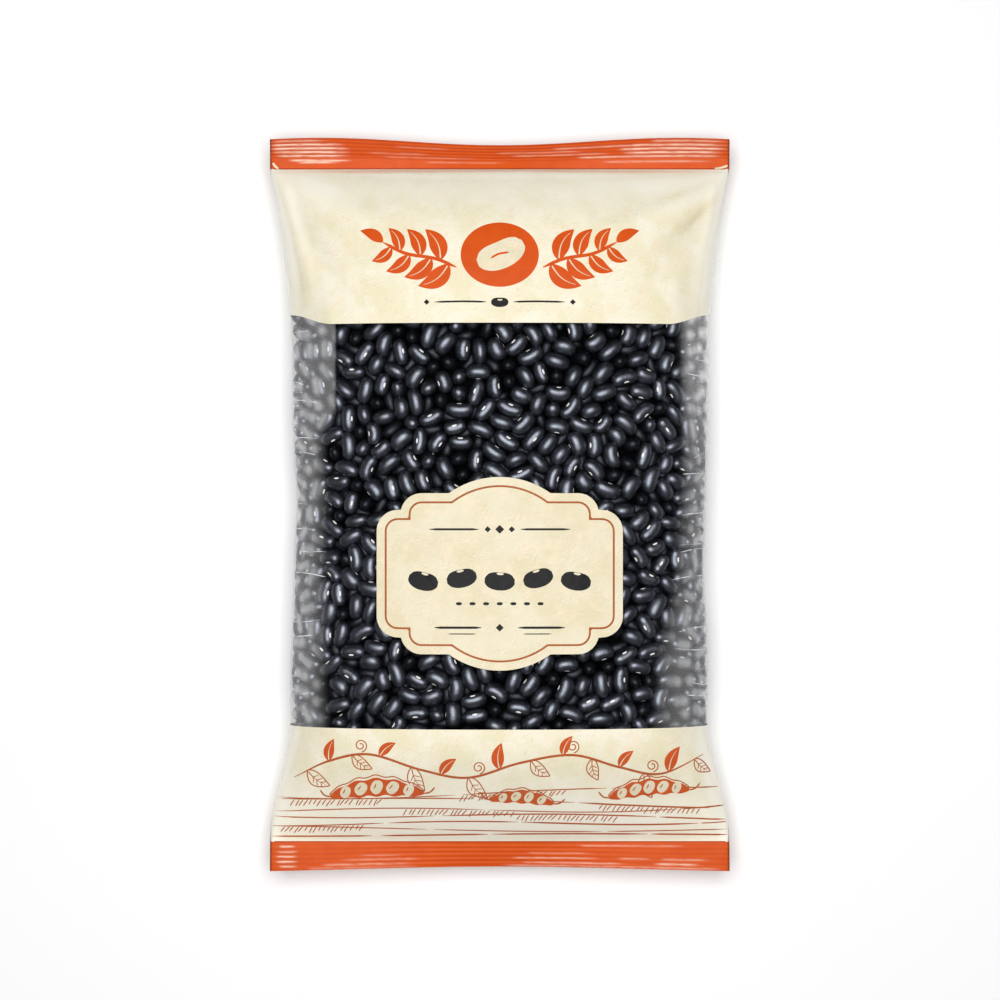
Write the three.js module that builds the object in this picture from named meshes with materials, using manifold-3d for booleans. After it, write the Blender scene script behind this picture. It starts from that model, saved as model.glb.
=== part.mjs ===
import * as THREE from "three";
import { mergeVertices } from "three/addons/utils/BufferGeometryUtils.js";
import Module from "manifold-3d";

// A sealed pillow bag of dried beans, lying on its back with its front up.
// Millimetres. X runs across the bag, Y towards its top seal, and Z up from
// the surface that the bag lies on. The film and its contents are one solid.

// Driving dimensions of the bag
const BAG_LENGTH = 287; // from the edge of one seal to the edge of the other
const BAG_WIDTH = 180; // the flat width of the film, as the seals keep it
const TOP_SEAL = 12; // height of the top seal
const BOTTOM_SEAL = 11.4;
const SEAL_LEVEL = 17.5; // of both seals, above the surface
const CROWN_RISE = 27; // from the seal level up to the highest film
const BELLY_DROP = 23; // from the seal level down, before the surface flattens it
const TOP_TAPER = 75; // from the top seal to the full thickness
const BOTTOM_TAPER = 50;
const SECTION = { atSeal: 1.7, full: 2.3 }; // powers of the superellipse across the bag

// How the filled film draws in from its flat width
const DRAW_IN = 8.3; // on each side, where the bag is full
const WAIST = { depth: 1.3, middle: -6, reach: 40 };

// Seals
const SEAL_THICKNESS = 1;
const RIDGE_PITCH = 1.7;
const RIDGE_DEPTH = 0.45; // from the middle of the film to the top of a ridge
const RIDGES = 5;
const TOP_EDGE_WAVE = { dip: 2.4, rise: 4, length: 140 };
const BOTTOM_EDGE_ARCH = 1.4;

// Printed bands and badge, which lie smooth over the beans
const TOP_BAND_EDGE = 70.8; // the window starts here
const BOTTOM_BAND_EDGE = -87.6;
const BADGE = {
  y: -26.8,
  wide: { halfX: 48.2, halfY: 24.9 },
  tall: { halfX: 38.8, halfY: 31.4 },
  corner: 8.3,
  discRadius: 34.2,
  discOffset: 3.6,
};

// Beans that press against the clear film
const BEAN = { length: 9.6, width: 5.9, depth: 5.2, proud: 1.4, unevenness: 0.12 };
const BEAN_ROUNDING = 1.14; // makes up for the flat faces of a coarse bean
const BEAN_STEP = 10.3; // between neighbours along a row
const BEAN_ROW = 9.2; // between rows
const BEAN_SHIFT = 1.3; // how far a bean strays from its even place
const BEAN_FLOOR = 7; // no bean shows lower than this above the surface
const BEAN_CLEARANCE = 3.2; // from a bean's middle to the edge of the print
const BEAN_SIDES = Math.PI / 4; // how far past the side edges the beans start
const SEED = 20261;

// Fineness of the film
const AROUND = 32;
const ALONG = 26;
const SMALLEST_EDGE = 0.1;
const SAME_POINT = 1e-4;

const halfLength = BAG_LENGTH / 2;
const topSealLine = halfLength - TOP_SEAL;
const bottomSealLine = -halfLength + BOTTOM_SEAL;

// A seeded random number from 0 to 1
let randomState = SEED;
function random() {
  randomState = (randomState * 1664525 + 1013904223) % 4294967296;
  return randomState / 4294967296;
}

function spread(amount) {
  return (random() * 2 - 1) * amount;
}

// How full the bag is at y: 0 at the seals and 1 along the middle
function fullness(y) {
  const fromTop = THREE.MathUtils.clamp((topSealLine - y) / TOP_TAPER, 0, 1);
  const fromBottom = THREE.MathUtils.clamp((y - bottomSealLine) / BOTTOM_TAPER, 0, 1);
  const round = Math.sqrt(1 - (1 - fromTop) ** 2);
  const slow = Math.sin((fromBottom * Math.PI) / 2);
  return round * slow;
}

function halfWidth(y) {
  const waist = WAIST.depth * Math.exp(-(((y - WAIST.middle) / WAIST.reach) ** 2));
  return BAG_WIDTH / 2 - DRAW_IN * fullness(y) ** 2 - waist;
}

// How far out in a seal y is: 0 at the seal's inner line and 1 at its edge
function sealShare(y) {
  if (y > topSealLine) return (y - topSealLine) / TOP_SEAL;
  if (y < bottomSealLine) return (bottomSealLine - y) / BOTTOM_SEAL;
  return 0;
}

// How far a seal's edge is drawn in from the full length of the bag
function edgeDrawIn(x, y) {
  if (y > topSealLine) {
    return (TOP_EDGE_WAVE.dip / 2) * (1 + Math.cos((2 * Math.PI * x) / TOP_EDGE_WAVE.length));
  }
  return BOTTOM_EDGE_ARCH * (1 - (x / (BAG_WIDTH / 2)) ** 2);
}

// How far a seal bends up or down
function sealBend(x, y) {
  const bend = (TOP_EDGE_WAVE.rise / 2) * Math.cos((2 * Math.PI * x) / TOP_EDGE_WAVE.length);
  return -bend * sealShare(y);
}

// A point of the film: angle 0 is the right edge, 90 degrees the front's middle
function filmPoint(angle, y, ridge = 0, shut = false) {
  const full = fullness(y);
  const power = 2 / THREE.MathUtils.lerp(SECTION.atSeal, SECTION.full, full);
  const across = Math.cos(angle);
  const up = Math.sin(angle);
  const x = halfWidth(y) * Math.sign(across) * Math.abs(across) ** power;
  const reach = up > 0 ? CROWN_RISE : BELLY_DROP;
  const bulge = full * reach * Math.sign(up) * Math.abs(up) ** power;
  const atSideEdge = Math.abs(up) < SAME_POINT;
  const thickness = shut || atSideEdge ? 0 : (Math.sign(up) * SEAL_THICKNESS) / 2;
  const drawIn = edgeDrawIn(x, y) * sealShare(y) * Math.sign(y);
  const z = SEAL_LEVEL + sealBend(x, y) + bulge + thickness + ridge;
  return new THREE.Vector3(x, y - drawIn, z);
}

// The stations of a seal, from its shut edge over its ridges towards the middle
function sealStations(edge, towardsMiddle) {
  const list = [{ y: edge, ridge: 0, shut: true }];
  for (let i = 1; i <= RIDGES * 2; i++) {
    const y = edge + (towardsMiddle * i * RIDGE_PITCH) / 2;
    list.push({ y, ridge: i % 2 ? RIDGE_DEPTH : -RIDGE_DEPTH, shut: false });
  }
  return list;
}

// The stations along the filled part, closer where it tapers into its seals
function bodyStations() {
  const list = [];
  for (let i = 0; i <= ALONG; i++) {
    const even = i / ALONG;
    const eased = even - Math.sin(2 * Math.PI * even) / (4 * Math.PI);
    const y = THREE.MathUtils.lerp(bottomSealLine, topSealLine, eased);
    list.push({ y, ridge: 0, shut: false });
  }
  return list;
}

// A solid from a closed three.js geometry
function solidFrom(wasm, geometry) {
  geometry.deleteAttribute("normal");
  geometry.deleteAttribute("uv");
  const merged = mergeVertices(geometry, SAME_POINT);
  return new wasm.Manifold(
    new wasm.Mesh({
      numProp: 3,
      vertProperties: new Float32Array(merged.attributes.position.array),
      triVerts: new Uint32Array(merged.index.array),
    }),
  );
}

// A flat sheet wrapped round into a tube and closed at both ends
function filmSolid(wasm) {
  const bottom = sealStations(-halfLength, 1);
  const top = sealStations(halfLength, -1).reverse();
  const rows = [...bottom, ...bodyStations(), ...top];
  const sheet = new THREE.PlaneGeometry(1, 1, AROUND, rows.length - 1);
  const position = sheet.attributes.position;
  for (let i = 0; i < position.count; i++) {
    const turn = 0.5 - position.getX(i);
    const row = rows[Math.round((position.getY(i) + 0.5) * (rows.length - 1))];
    const point = filmPoint(turn * 2 * Math.PI, row.y, row.ridge, row.shut);
    position.setXYZ(i, point.x, point.y, point.z);
  }
  return solidFrom(wasm, sheet);
}

function distanceToRoundedBox(x, y, box) {
  const overX = Math.max(Math.abs(x) - box.halfX + BADGE.corner, 0);
  const overY = Math.max(Math.abs(y) - box.halfY + BADGE.corner, 0);
  return Math.hypot(overX, overY) - BADGE.corner;
}

// Distance outside the printed badge on the front
function distanceToBadge(x, y) {
  const local = y - BADGE.y;
  return Math.min(
    distanceToRoundedBox(x, local, BADGE.wide),
    distanceToRoundedBox(x, local, BADGE.tall),
    Math.hypot(x, Math.abs(local) - BADGE.discOffset) - BADGE.discRadius,
  );
}

function isClearFilm(point) {
  if (point.z < BEAN_FLOOR) return false;
  if (point.y > TOP_BAND_EDGE - BEAN_CLEARANCE) return false;
  if (point.y < BOTTOM_BAND_EDGE + BEAN_CLEARANCE) return false;
  return point.z < SEAL_LEVEL || distanceToBadge(point.x, point.y) > BEAN_CLEARANCE;
}

// One bean, half sunk in the film at a point, lying along it any way round
function bean(wasm, angle, y) {
  const point = filmPoint(angle, y);
  const alongRing = filmPoint(angle + 0.01, y).sub(filmPoint(angle - 0.01, y));
  const alongBag = filmPoint(angle, y + 0.5).sub(filmPoint(angle, y - 0.5));
  const outward = alongBag.cross(alongRing).normalize();
  const lengthwise = alongRing.normalize().applyAxisAngle(outward, random() * Math.PI);
  const sideways = new THREE.Vector3().crossVectors(outward, lengthwise);
  const size = BEAN_ROUNDING * (1 + spread(BEAN.unevenness));
  const shape = new THREE.IcosahedronGeometry(0.5, 0);
  shape.scale(BEAN.length * size, BEAN.width * size, BEAN.depth * size);
  shape.applyMatrix4(new THREE.Matrix4().makeBasis(lengthwise, sideways, outward));
  point.addScaledVector(outward, BEAN.proud - (BEAN.depth * size) / 2);
  shape.translate(point.x, point.y, point.z);
  return solidFrom(wasm, shape);
}

// Walks over the film from its right edge to its left one, row by row, and
// sets a bean down at each step where the film is clear
function beans(wasm) {
  const solids = [];
  const fineTurn = Math.PI / 720;
  for (let rowY = BOTTOM_BAND_EDGE; rowY < TOP_BAND_EDGE; rowY += BEAN_ROW) {
    let walked = random() * BEAN_STEP;
    for (let angle = -BEAN_SIDES; angle < Math.PI + BEAN_SIDES; angle += fineTurn) {
      walked += filmPoint(angle, rowY).distanceTo(filmPoint(angle + fineTurn, rowY));
      if (walked < BEAN_STEP) continue;
      walked = spread(BEAN_SHIFT);
      const y = rowY + spread(BEAN_SHIFT);
      if (isClearFilm(filmPoint(angle, y))) solids.push(bean(wasm, angle, y));
    }
  }
  return solids;
}

// Keeps what lies above the surface, which presses the belly flat
function aboveSurface(wasm) {
  const height = 200;
  const box = new THREE.BoxGeometry(BAG_WIDTH * 2, BAG_LENGTH * 2, height);
  box.translate(0, 0, height / 2);
  return solidFrom(wasm, box);
}

async function bagMesh() {
  const wasm = await Module();
  wasm.setup();
  const filled = wasm.Manifold.union([filmSolid(wasm), ...beans(wasm)]);
  const solid = filled.intersect(aboveSurface(wasm)).simplify(SMALLEST_EDGE);
  const { vertProperties, triVerts } = solid.getMesh();
  const geometry = new THREE.BufferGeometry();
  geometry.setAttribute("position", new THREE.BufferAttribute(vertProperties, 3));
  geometry.setIndex(new THREE.BufferAttribute(triVerts, 1));
  geometry.computeVertexNormals();
  const mesh = new THREE.Mesh(
    geometry,
    new THREE.MeshStandardMaterial({ color: 0x2c2c32, roughness: 0.3, metalness: 0 }),
  );
  mesh.name = "bag";
  return mesh;
}

const group = new THREE.Group();
group.add(await bagMesh());

export default group;
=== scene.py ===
import math

import bpy
import numpy as np
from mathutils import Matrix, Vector


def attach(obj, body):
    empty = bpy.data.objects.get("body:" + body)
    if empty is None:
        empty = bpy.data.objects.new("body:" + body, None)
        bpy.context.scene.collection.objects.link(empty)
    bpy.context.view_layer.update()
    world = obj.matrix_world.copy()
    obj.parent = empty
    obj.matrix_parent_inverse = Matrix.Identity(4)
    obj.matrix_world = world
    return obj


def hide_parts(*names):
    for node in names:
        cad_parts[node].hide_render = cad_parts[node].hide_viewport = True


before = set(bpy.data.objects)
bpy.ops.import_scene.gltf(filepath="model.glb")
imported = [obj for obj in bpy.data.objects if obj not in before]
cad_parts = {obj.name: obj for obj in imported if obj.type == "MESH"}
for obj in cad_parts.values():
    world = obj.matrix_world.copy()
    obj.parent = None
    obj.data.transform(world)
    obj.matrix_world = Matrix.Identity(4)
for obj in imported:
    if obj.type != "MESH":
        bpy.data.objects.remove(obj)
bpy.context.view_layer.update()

# A sealed bag of dried black beans that lies on its back. Sizes are in millimetres
# until a mesh is made. X runs across the bag, Y to its top seal, Z up from the table.

mm = 0.001

bag = {
    "length": 287,          # from seal edge to seal edge
    "width": 180,           # flat width, kept by the seals
    "topSeal": 12,
    "bottomSeal": 11.4,
    "sealLevel": 17.5,      # of the seals above the table
    "crownRise": 27,        # of the front over the seals
    "bellyDrop": 23,        # of the back under them, before the table flattens it
    "topTaper": 75,         # lengths over which it fills out from the seals
    "bottomTaper": 50,
    "sealSection": 1.7,     # powers of the section, pointed at the seals
    "fullSection": 2.3,
    "drawIn": 8.3,          # of each side where the bag is full
    "waist": (1.3, -6, 40),     # depth of the waist, its height up the bag and its reach
    "filmHalf": 0.5,        # half the thickness that the film adds where the bag is full
    "sealHalf": 0.22,       # the same within the seals
    "filmFull": 0.3,        # fullness at which the film has its whole thickness
    "edgeWave": 2.4,        # how far the top edge dips between its two humps
    "edgeRise": 4,          # how far the seals bend up and down
    "edgeLength": 140,      # from hump to hump
    "edgeArch": 1.4,        # how far the bottom edge draws in at its middle
    "edgeRound": 12,        # how soon the side edge gets the film's whole thickness
    "tableSoftness": 0.5,   # rounds the turn into the flat belly
    "tableGap": 0.16,       # room under the film for the seam on the back
}

topLine = bag["length"] / 2 - bag["topSeal"]
bottomLine = -bag["length"] / 2 + bag["bottomSeal"]

view = {
    "metresPerPixel": 0.000392,  # at the level of the seals
    "imageSize": 1000,
    "lens": 100,
    "sensor": 36,
    "centreX": 0.0001,
    "centreY": 0.0018,
}


# Numbers

def smoothStep(low, high, value):
    share = np.clip((np.asarray(value, float) - low) / (high - low), 0, 1)
    return share * share * (3 - 2 * share)


def hump(value, middle, reach):
    return np.exp(-((np.asarray(value, float) - middle) / reach) ** 2)


def unit(vectors):
    return vectors / np.maximum(np.linalg.norm(vectors, axis=-1, keepdims=True), 1e-9)


# Meshes

def markRims(mesh, smoothCount):
    # Sharp edges round the flat faces, so that they don't bend the shading of the smooth ones
    rims = set()
    for face in mesh.polygons[smoothCount:]:
        rims.update(face.edge_keys)
    sharp = mesh.attributes.new("sharp_edge", "BOOLEAN", "EDGE")
    sharp.data.foreach_set("value", [tuple(sorted(edge.vertices)) in rims for edge in mesh.edges])


def makeMesh(name, points, faces, materials, faceMaterials=None, smoothCount=None):
    mesh = bpy.data.meshes.new(name)
    mesh.from_pydata((np.asarray(points, float) * mm).tolist(), [], faces)
    for material in materials:
        mesh.materials.append(material)
    if faceMaterials is not None:
        mesh.polygons.foreach_set("material_index", np.asarray(faceMaterials, np.int32))
    smoothCount = len(faces) if smoothCount is None else smoothCount
    mesh.polygons.foreach_set("use_smooth", [i < smoothCount for i in range(len(faces))])
    mesh.update()
    if smoothCount < len(faces):
        markRims(mesh, smoothCount)
    piece = bpy.data.objects.new(name, mesh)
    bpy.context.scene.collection.objects.link(piece)
    return piece


def ringFaces(rowCount, ring):
    # Quads between rows of points that each close on themselves
    faces = []
    for i in range(rowCount - 1):
        near, far = i * ring, (i + 1) * ring
        for j in range(ring):
            k = (j + 1) % ring
            faces.append((near + j, near + k, far + k, far + j))
    return faces


def addNumbers(piece, name, values):
    # Gives each point of a mesh a number that its material can read
    attribute = piece.data.attributes.new(name, "FLOAT", "POINT")
    attribute.data.foreach_set("value", np.asarray(values, np.float32).ravel())


def standForBag(piece):
    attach(piece, "root")
    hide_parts("bag")
    return piece


# Shape of the film

def fullness(y):
    fromTop = np.clip((topLine - y) / bag["topTaper"], 0, 1)
    fromBottom = np.clip((y - bottomLine) / bag["bottomTaper"], 0, 1)
    return np.sqrt(1 - (1 - fromTop) ** 2) * np.sin(fromBottom * np.pi / 2)


ripples = {
    # Small hollows in the two side edges: depth, height up the bag and reach
    "left": [(0.9, 2, 11), (-0.5, -70, 22), (0.3, 60, 14)],
    "right": [(0.8, -28, 12), (-0.4, 22, 24), (0.5, -88, 9)],
    "fade": 12,             # they fade out over this length to the seals
}


def sideRipple(y, side):
    left, right = (sum(depth * hump(y, middle, reach) for depth, middle, reach in ripples[name])
                   for name in ("left", "right"))
    return np.where(side < 0, left, right)


def halfWidth(y, side=1):
    depth, middle, reach = bag["waist"]
    waist = depth * hump(y, middle, reach)
    fade = ripples["fade"]
    inBody = smoothStep(bottomLine, bottomLine + fade, y) * smoothStep(-topLine, -topLine + fade, -y)
    drawn = bag["drawIn"] * fullness(y) ** 2 + waist + sideRipple(y, side) * inBody
    return bag["width"] / 2 - drawn


def sealShare(y):
    top = np.clip((y - topLine) / bag["topSeal"], 0, 1)
    bottom = np.clip((bottomLine - y) / bag["bottomSeal"], 0, 1)
    return top, bottom


def edgeDrawIn(x, y):
    top, bottom = sealShare(y)
    wave = bag["edgeWave"] / 2 * (1 + np.cos(2 * np.pi * x / bag["edgeLength"]))
    arch = bag["edgeArch"] * (1 - (x / (bag["width"] / 2)) ** 2)
    return bottom * arch - top * wave


def sealBend(x, y):
    top, bottom = sealShare(y)
    return -bag["edgeRise"] / 2 * np.cos(2 * np.pi * x / bag["edgeLength"]) * (top + bottom)


folds = {
    # Each fold runs from one point to another, then stands out by its height over its reach
    "lines": [
        ((-87, 128), (-74, 84), 0.9, 3.2),
        ((-66, 78), (-65, 22), 0.35, 2.6),
        ((69, 78), (80, 12), 0.3, 3.0),
        ((64, -30), (60, -88), 0.25, 5.0),
        ((-80, 126), (-44, 108), 0.5, 5.0),
        ((-84, 118), (-60, 82), -0.6, 4.0),
        ((86, 127), (77, 78), 0.9, 3.0),
        ((82, 124), (40, 104), 0.6, 5.5),
        ((80, 112), (58, 84), -0.6, 4.5),
        ((-30, 128), (-18, 104), 0.25, 4.0),
        ((26, 128), (34, 106), 0.25, 4.0),
        ((-86, -130), (-72, -102), 0.6, 3.0),
        ((86, -130), (73, -100), 0.6, 3.0),
        ((-60, -130), (-50, -112), 0.3, 4.0),
        ((48, -130), (40, -110), 0.3, 4.0),
    ],
    "fade": 0.25,           # share of a fold over which each end fades out
    "fromSide": 0.35,       # they fade out towards the sides and the seals
    "fromSeal": 0.2,
}


def softLines(lines, fade, x, y):
    # Each line runs from one point to another with its strength and its reach to the sides
    total = np.zeros(np.broadcast(x, y).shape)
    for start, end, strength, reach in lines:
        alongX, alongY = end[0] - start[0], end[1] - start[1]
        length = math.hypot(alongX, alongY)
        share = ((x - start[0]) * alongX + (y - start[1]) * alongY) / length ** 2
        off = ((x - start[0]) * alongY - (y - start[1]) * alongX) / length
        ends = smoothStep(-fade, fade, share) * smoothStep(-1 - fade, -1 + fade, -share)
        total = total + strength * ends * np.exp(-(off / reach) ** 2)
    return total


def sectionPower(y):
    full = fullness(y)
    return bag["sealSection"] + (bag["fullSection"] - bag["sealSection"]) * full


def filmHalf(y):
    share = smoothStep(0, bag["filmFull"], fullness(y))
    return bag["sealHalf"] + (bag["filmHalf"] - bag["sealHalf"]) * share


def filmPoints(angle, y):
    # angle and y are arrays of one shape; angle 0 is the right edge
    across, up = np.cos(angle), np.sin(angle)
    power = 2 / sectionPower(y)
    x = halfWidth(y, across) * np.sign(across) * np.abs(across) ** power
    front = up > 0
    reach = np.where(front, bag["crownRise"], bag["bellyDrop"])
    lifted = np.sign(up) * np.abs(up) ** power
    thick = np.sign(up) * filmHalf(y) * np.minimum(1, np.abs(up) * bag["edgeRound"])
    z = bag["sealLevel"] + sealBend(x, y) + fullness(y) * reach * lifted + thick
    fold = softLines(folds["lines"], folds["fade"], x, y)
    fold = fold * smoothStep(0, folds["fromSide"], up) * smoothStep(0, folds["fromSeal"], fullness(y))
    z = z + np.where(front, fold, 0)
    soft = bag["tableSoftness"]
    gap = bag["tableGap"]
    z = np.where(front, z, gap + soft * np.logaddexp(0, (z - gap) / soft))
    return np.stack([x, y + edgeDrawIn(x, y), z], -1)


def surfaceHeight(x, y, side=1):
    # Height of the film over a point, on the front (1) or the back (-1)
    share = np.clip(np.abs(x) / halfWidth(y, x), 0, 1)
    across = share ** (sectionPower(y) / 2)
    up = np.sqrt(np.clip(1 - across ** 2, 0, 1)) * side
    angle = np.arctan2(up, np.where(x < 0, -1, 1) * across)
    return filmPoints(angle, y)[..., 2]


# Film

film = {
    "columns": 160,          # on the front, and as many on the back
    "bodyStep": 1.25,        # between the rows of points
    "sealStep": 0.3,
    "topBand": 69.6,         # the clear window starts here
    "bottomBand": -86.0,
    "bandLift": 4.2,         # how far the top band's edge climbs at the sides
    "bandLiftReach": 17, "bandLiftSpan": 22,     # in from the sides, and up and down the bag
    "dip": 0.13,             # how far the film sinks between the beans
    "dipReach": 1.3,         # distance from a bean over which it sinks
    "beanReach": 9,          # beans further off than this can't touch a row
    "badgeMargin": (-1, 3),  # the badge keeps the film flat, fading out over this distance
    "flatBelow": (0.2, 2.5),     # so does the table, fading out over this height
    "creaseReach": 11,       # creases run in from the side edges as far as this
}

crimps = {
    # Ridges across each seal: how far in the first starts, their pitch and depth
    "top": {"start": 0.37, "pitch": 1.46, "depth": 0.22},
    "bottom": {"start": 0.62, "pitch": 1.97, "depth": 0.09},
    "count": 5,
    "fade": 0.3,            # in ridges, after the last one
}

paintedLight = {
    # Painted highlights on folds and slopes of the printed bands, and painted shade along folds where the
    # strength is below 0
    "lines": [
        ((-81, 130), (-58, 118), 0.55, 3.2),
        ((-78, 127), (-64, 112), 0.35, 4.5),
        ((-86, 122), (-78.5, 84), 0.6, 2.2),
        ((-82, 124), (-73.5, 94), 0.4, 1.8),
        ((-87.5, 128), (-81.5, 109), -0.6, 0.7),
        ((-81.5, 109), (-75.5, 78), -0.45, 0.7),
        ((-76, 121), (-67, 108), -0.3, 2.6),
        ((89, 129), (56, 124), 0.55, 4.0),
        ((62, 124.5), (30, 126), 0.35, 4.0),
        ((86, 122), (60, 113), 0.3, 2.6),
        ((84, 126.5), (64, 118), -0.4, 1.2),
        ((85.5, 121), (72, 107), -0.45, 1.4),
        ((80, 118), (62, 99), -0.3, 2.2),
        ((83.5, 113), (78.5, 76), 0.55, 2.2),
        ((77, 104), (75, 74), 0.3, 2.8),
        ((-82, -90), (-88, -130), 0.5, 2.2),
        ((76, -88), (86, -117), 0.75, 2.8),
        ((84, -112), (89, -130), 0.5, 2.5),
        ((-84, 123), (84, 123), 0.5, 9.0),
        ((-84, -122), (84, -122), 1.0, 12.0),
    ],
    "fade": 0.3,
    "edge": 0.95,            # painted highlight, strongest at the film's side edges
    "edgeReach": 4.5,
}

milkAndGlare = {
    # Height up the bag, and how far in from the side the film gets its painted reflection there
    "left": [(-88, 13), (-50, 11), (-10, 10), (28, 11), (36, 17.5), (70, 18)],
    "right": [(-88, 18), (-56, 17), (-28, 9), (10, 8), (50, 10), (70, 11)],
    "leftSoft": [(-88, 5), (28, 4), (38, 0.7), (70, 0.7)],
    "rightSoft": [(-88, 7), (-30, 5), (40, 3), (70, 2)],
    "leftShare": [(-88, 1.1), (70, 1.1)],
    "rightShare": [(-88, 0.95), (20, 1.0), (45, 1.8), (70, 1.8)],
    "leftRim": 1.6,          # at the very edge the painted reflection fades out and the film is clear
    "rightRim": 0.3,
    "touch": 0.62,           # the painted reflection is brightest within this distance of a bean
}


def evenAngles(y, columns):
    # Angles that split the front and the back of a row into equal lengths
    fine = np.linspace(0, np.pi, 361)
    angles = []
    for start in (0, np.pi):
        line = filmPoints(fine + start, np.full(fine.shape, y))
        steps = np.linalg.norm(np.diff(line, axis=0), axis=1)
        walked = np.concatenate([[0], np.cumsum(steps)])
        even = np.linspace(0, walked[-1], columns + 1)[:-1]
        angles.append(np.interp(even, walked, fine) + start)
    return np.concatenate(angles)


def filmRows():
    half = bag["length"] / 2
    bottomSeal = np.linspace(-half, bottomLine, round(bag["bottomSeal"] / film["sealStep"]) + 1)
    topSeal = np.linspace(topLine, half, round(bag["topSeal"] / film["sealStep"]) + 1)
    stops = [bottomLine, film["bottomBand"], film["topBand"], topLine]
    body = []
    for low, high in zip(stops, stops[1:]):
        body.append(np.linspace(low, high, round((high - low) / film["bodyStep"]) + 1)[:-1])
    return np.concatenate([bottomSeal[:-1], *body, topSeal])


def ridgeWave(y):
    # From -1 in a groove to 1 on a ridge, and 0 where the seal is smooth
    half = bag["length"] / 2
    inward = half - np.abs(y)
    waves = []
    for crimp in (crimps["bottom"], crimps["top"]):
        turns = (inward - crimp["start"]) / crimp["pitch"]
        fade = smoothStep(-crimps["fade"], crimps["fade"], crimps["count"] - turns)
        waves.append(-np.cos(2 * np.pi * turns) * fade)
    return np.where(np.asarray(y) > 0, waves[1], waves[0])


def ridgeHeight(y):
    depth = np.where(np.asarray(y) > 0, crimps["top"]["depth"], crimps["bottom"]["depth"])
    return ridgeWave(y) * depth


def bandLift(x, y):
    # The top band's edge climbs where the film turns to the sides
    fromSide = halfWidth(y, x) - np.abs(x)
    climb = film["bandLift"] * (1 - smoothStep(0, film["bandLiftReach"], fromSide))
    return climb * hump(y, film["topBand"], film["bandLiftSpan"])


def filmGrid():
    rows = filmRows()
    grid = []
    for y in rows:
        angles = evenAngles(y, film["columns"])
        ys = np.full(angles.shape, y)
        flat = filmPoints(angles, ys)
        ys = ys + bandLift(flat[:, 0], ys)
        points = filmPoints(angles, ys)
        points[:, 2] += ridgeHeight(y)
        grid.append(points)
    return rows, np.array(grid)


def gridNormals(grid):
    around = np.roll(grid, -1, 1) - np.roll(grid, 1, 1)
    along = np.gradient(grid, axis=0)
    return -unit(np.cross(along, around))


def sinkBetweenBeans(rows, grid, spheres, radii):
    # The film with small dips between the beans, and how near each point is to a bean
    order = np.argsort(spheres[:, 1])
    spheres, radii = spheres[order], radii[order]
    clear = (rows > film["bottomBand"] + 1) & (rows < film["topBand"] + 3)
    gaps = np.zeros(grid.shape[:2])
    for i in np.nonzero(clear)[0]:
        span = [rows[i] - film["beanReach"], rows[i] + film["beanReach"]]
        low, high = np.searchsorted(spheres[:, 1], span)
        reach = np.linalg.norm(grid[i][:, None] - spheres[None, low:high], axis=2) - radii[low:high]
        gaps[i] = np.clip(reach.min(1), 0, 4)
    touch = np.exp(-(gaps / milkAndGlare["touch"]) ** 2) * clear[:, None]
    dips = film["dip"] * (1 - np.exp(-gaps / film["dipReach"]))
    for _ in range(2):
        dips = (dips * 2 + np.roll(dips, 1, 1) + np.roll(dips, -1, 1)) / 4
        dips[1:-1] = (dips[1:-1] * 2 + dips[:-2] + dips[2:]) / 4
    outsideBadge = smoothStep(*film["badgeMargin"], badgeDistance(grid[..., 0], grid[..., 1]))
    onBack = np.arange(grid.shape[1]) >= film["columns"]
    dips = dips * np.where(onBack, 1, outsideBadge)
    dips = dips * smoothStep(*film["flatBelow"], grid[..., 2])
    return grid - gridNormals(grid) * dips[..., None], touch


def glareShare(x, y):
    # Share of the painted reflection near each side edge of the window
    side = np.where(x < 0, 0, 1)
    fromSide = halfWidth(y, x) - np.abs(x)
    shares = []
    for name in ("left", "right"):
        width = np.interp(y, *np.array(milkAndGlare[name]).T)
        soft = np.interp(y, *np.array(milkAndGlare[name + "Soft"]).T)
        sideGlare = 1 - smoothStep(0, 1, (fromSide - width + soft) / (2 * soft))
        strength = np.interp(y, *np.array(milkAndGlare[name + "Share"]).T)
        shares.append(strength * sideGlare * smoothStep(0, milkAndGlare[name + "Rim"], fromSide))
    return np.choose(side, shares)


def bandKind(y):
    # Which material the film has at a height: 0 in a seal, 1 in a band, 2 in the window
    if y > topLine or y < bottomLine:
        return 0
    if y > film["topBand"] or y < film["bottomBand"]:
        return 1
    return 2


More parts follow.
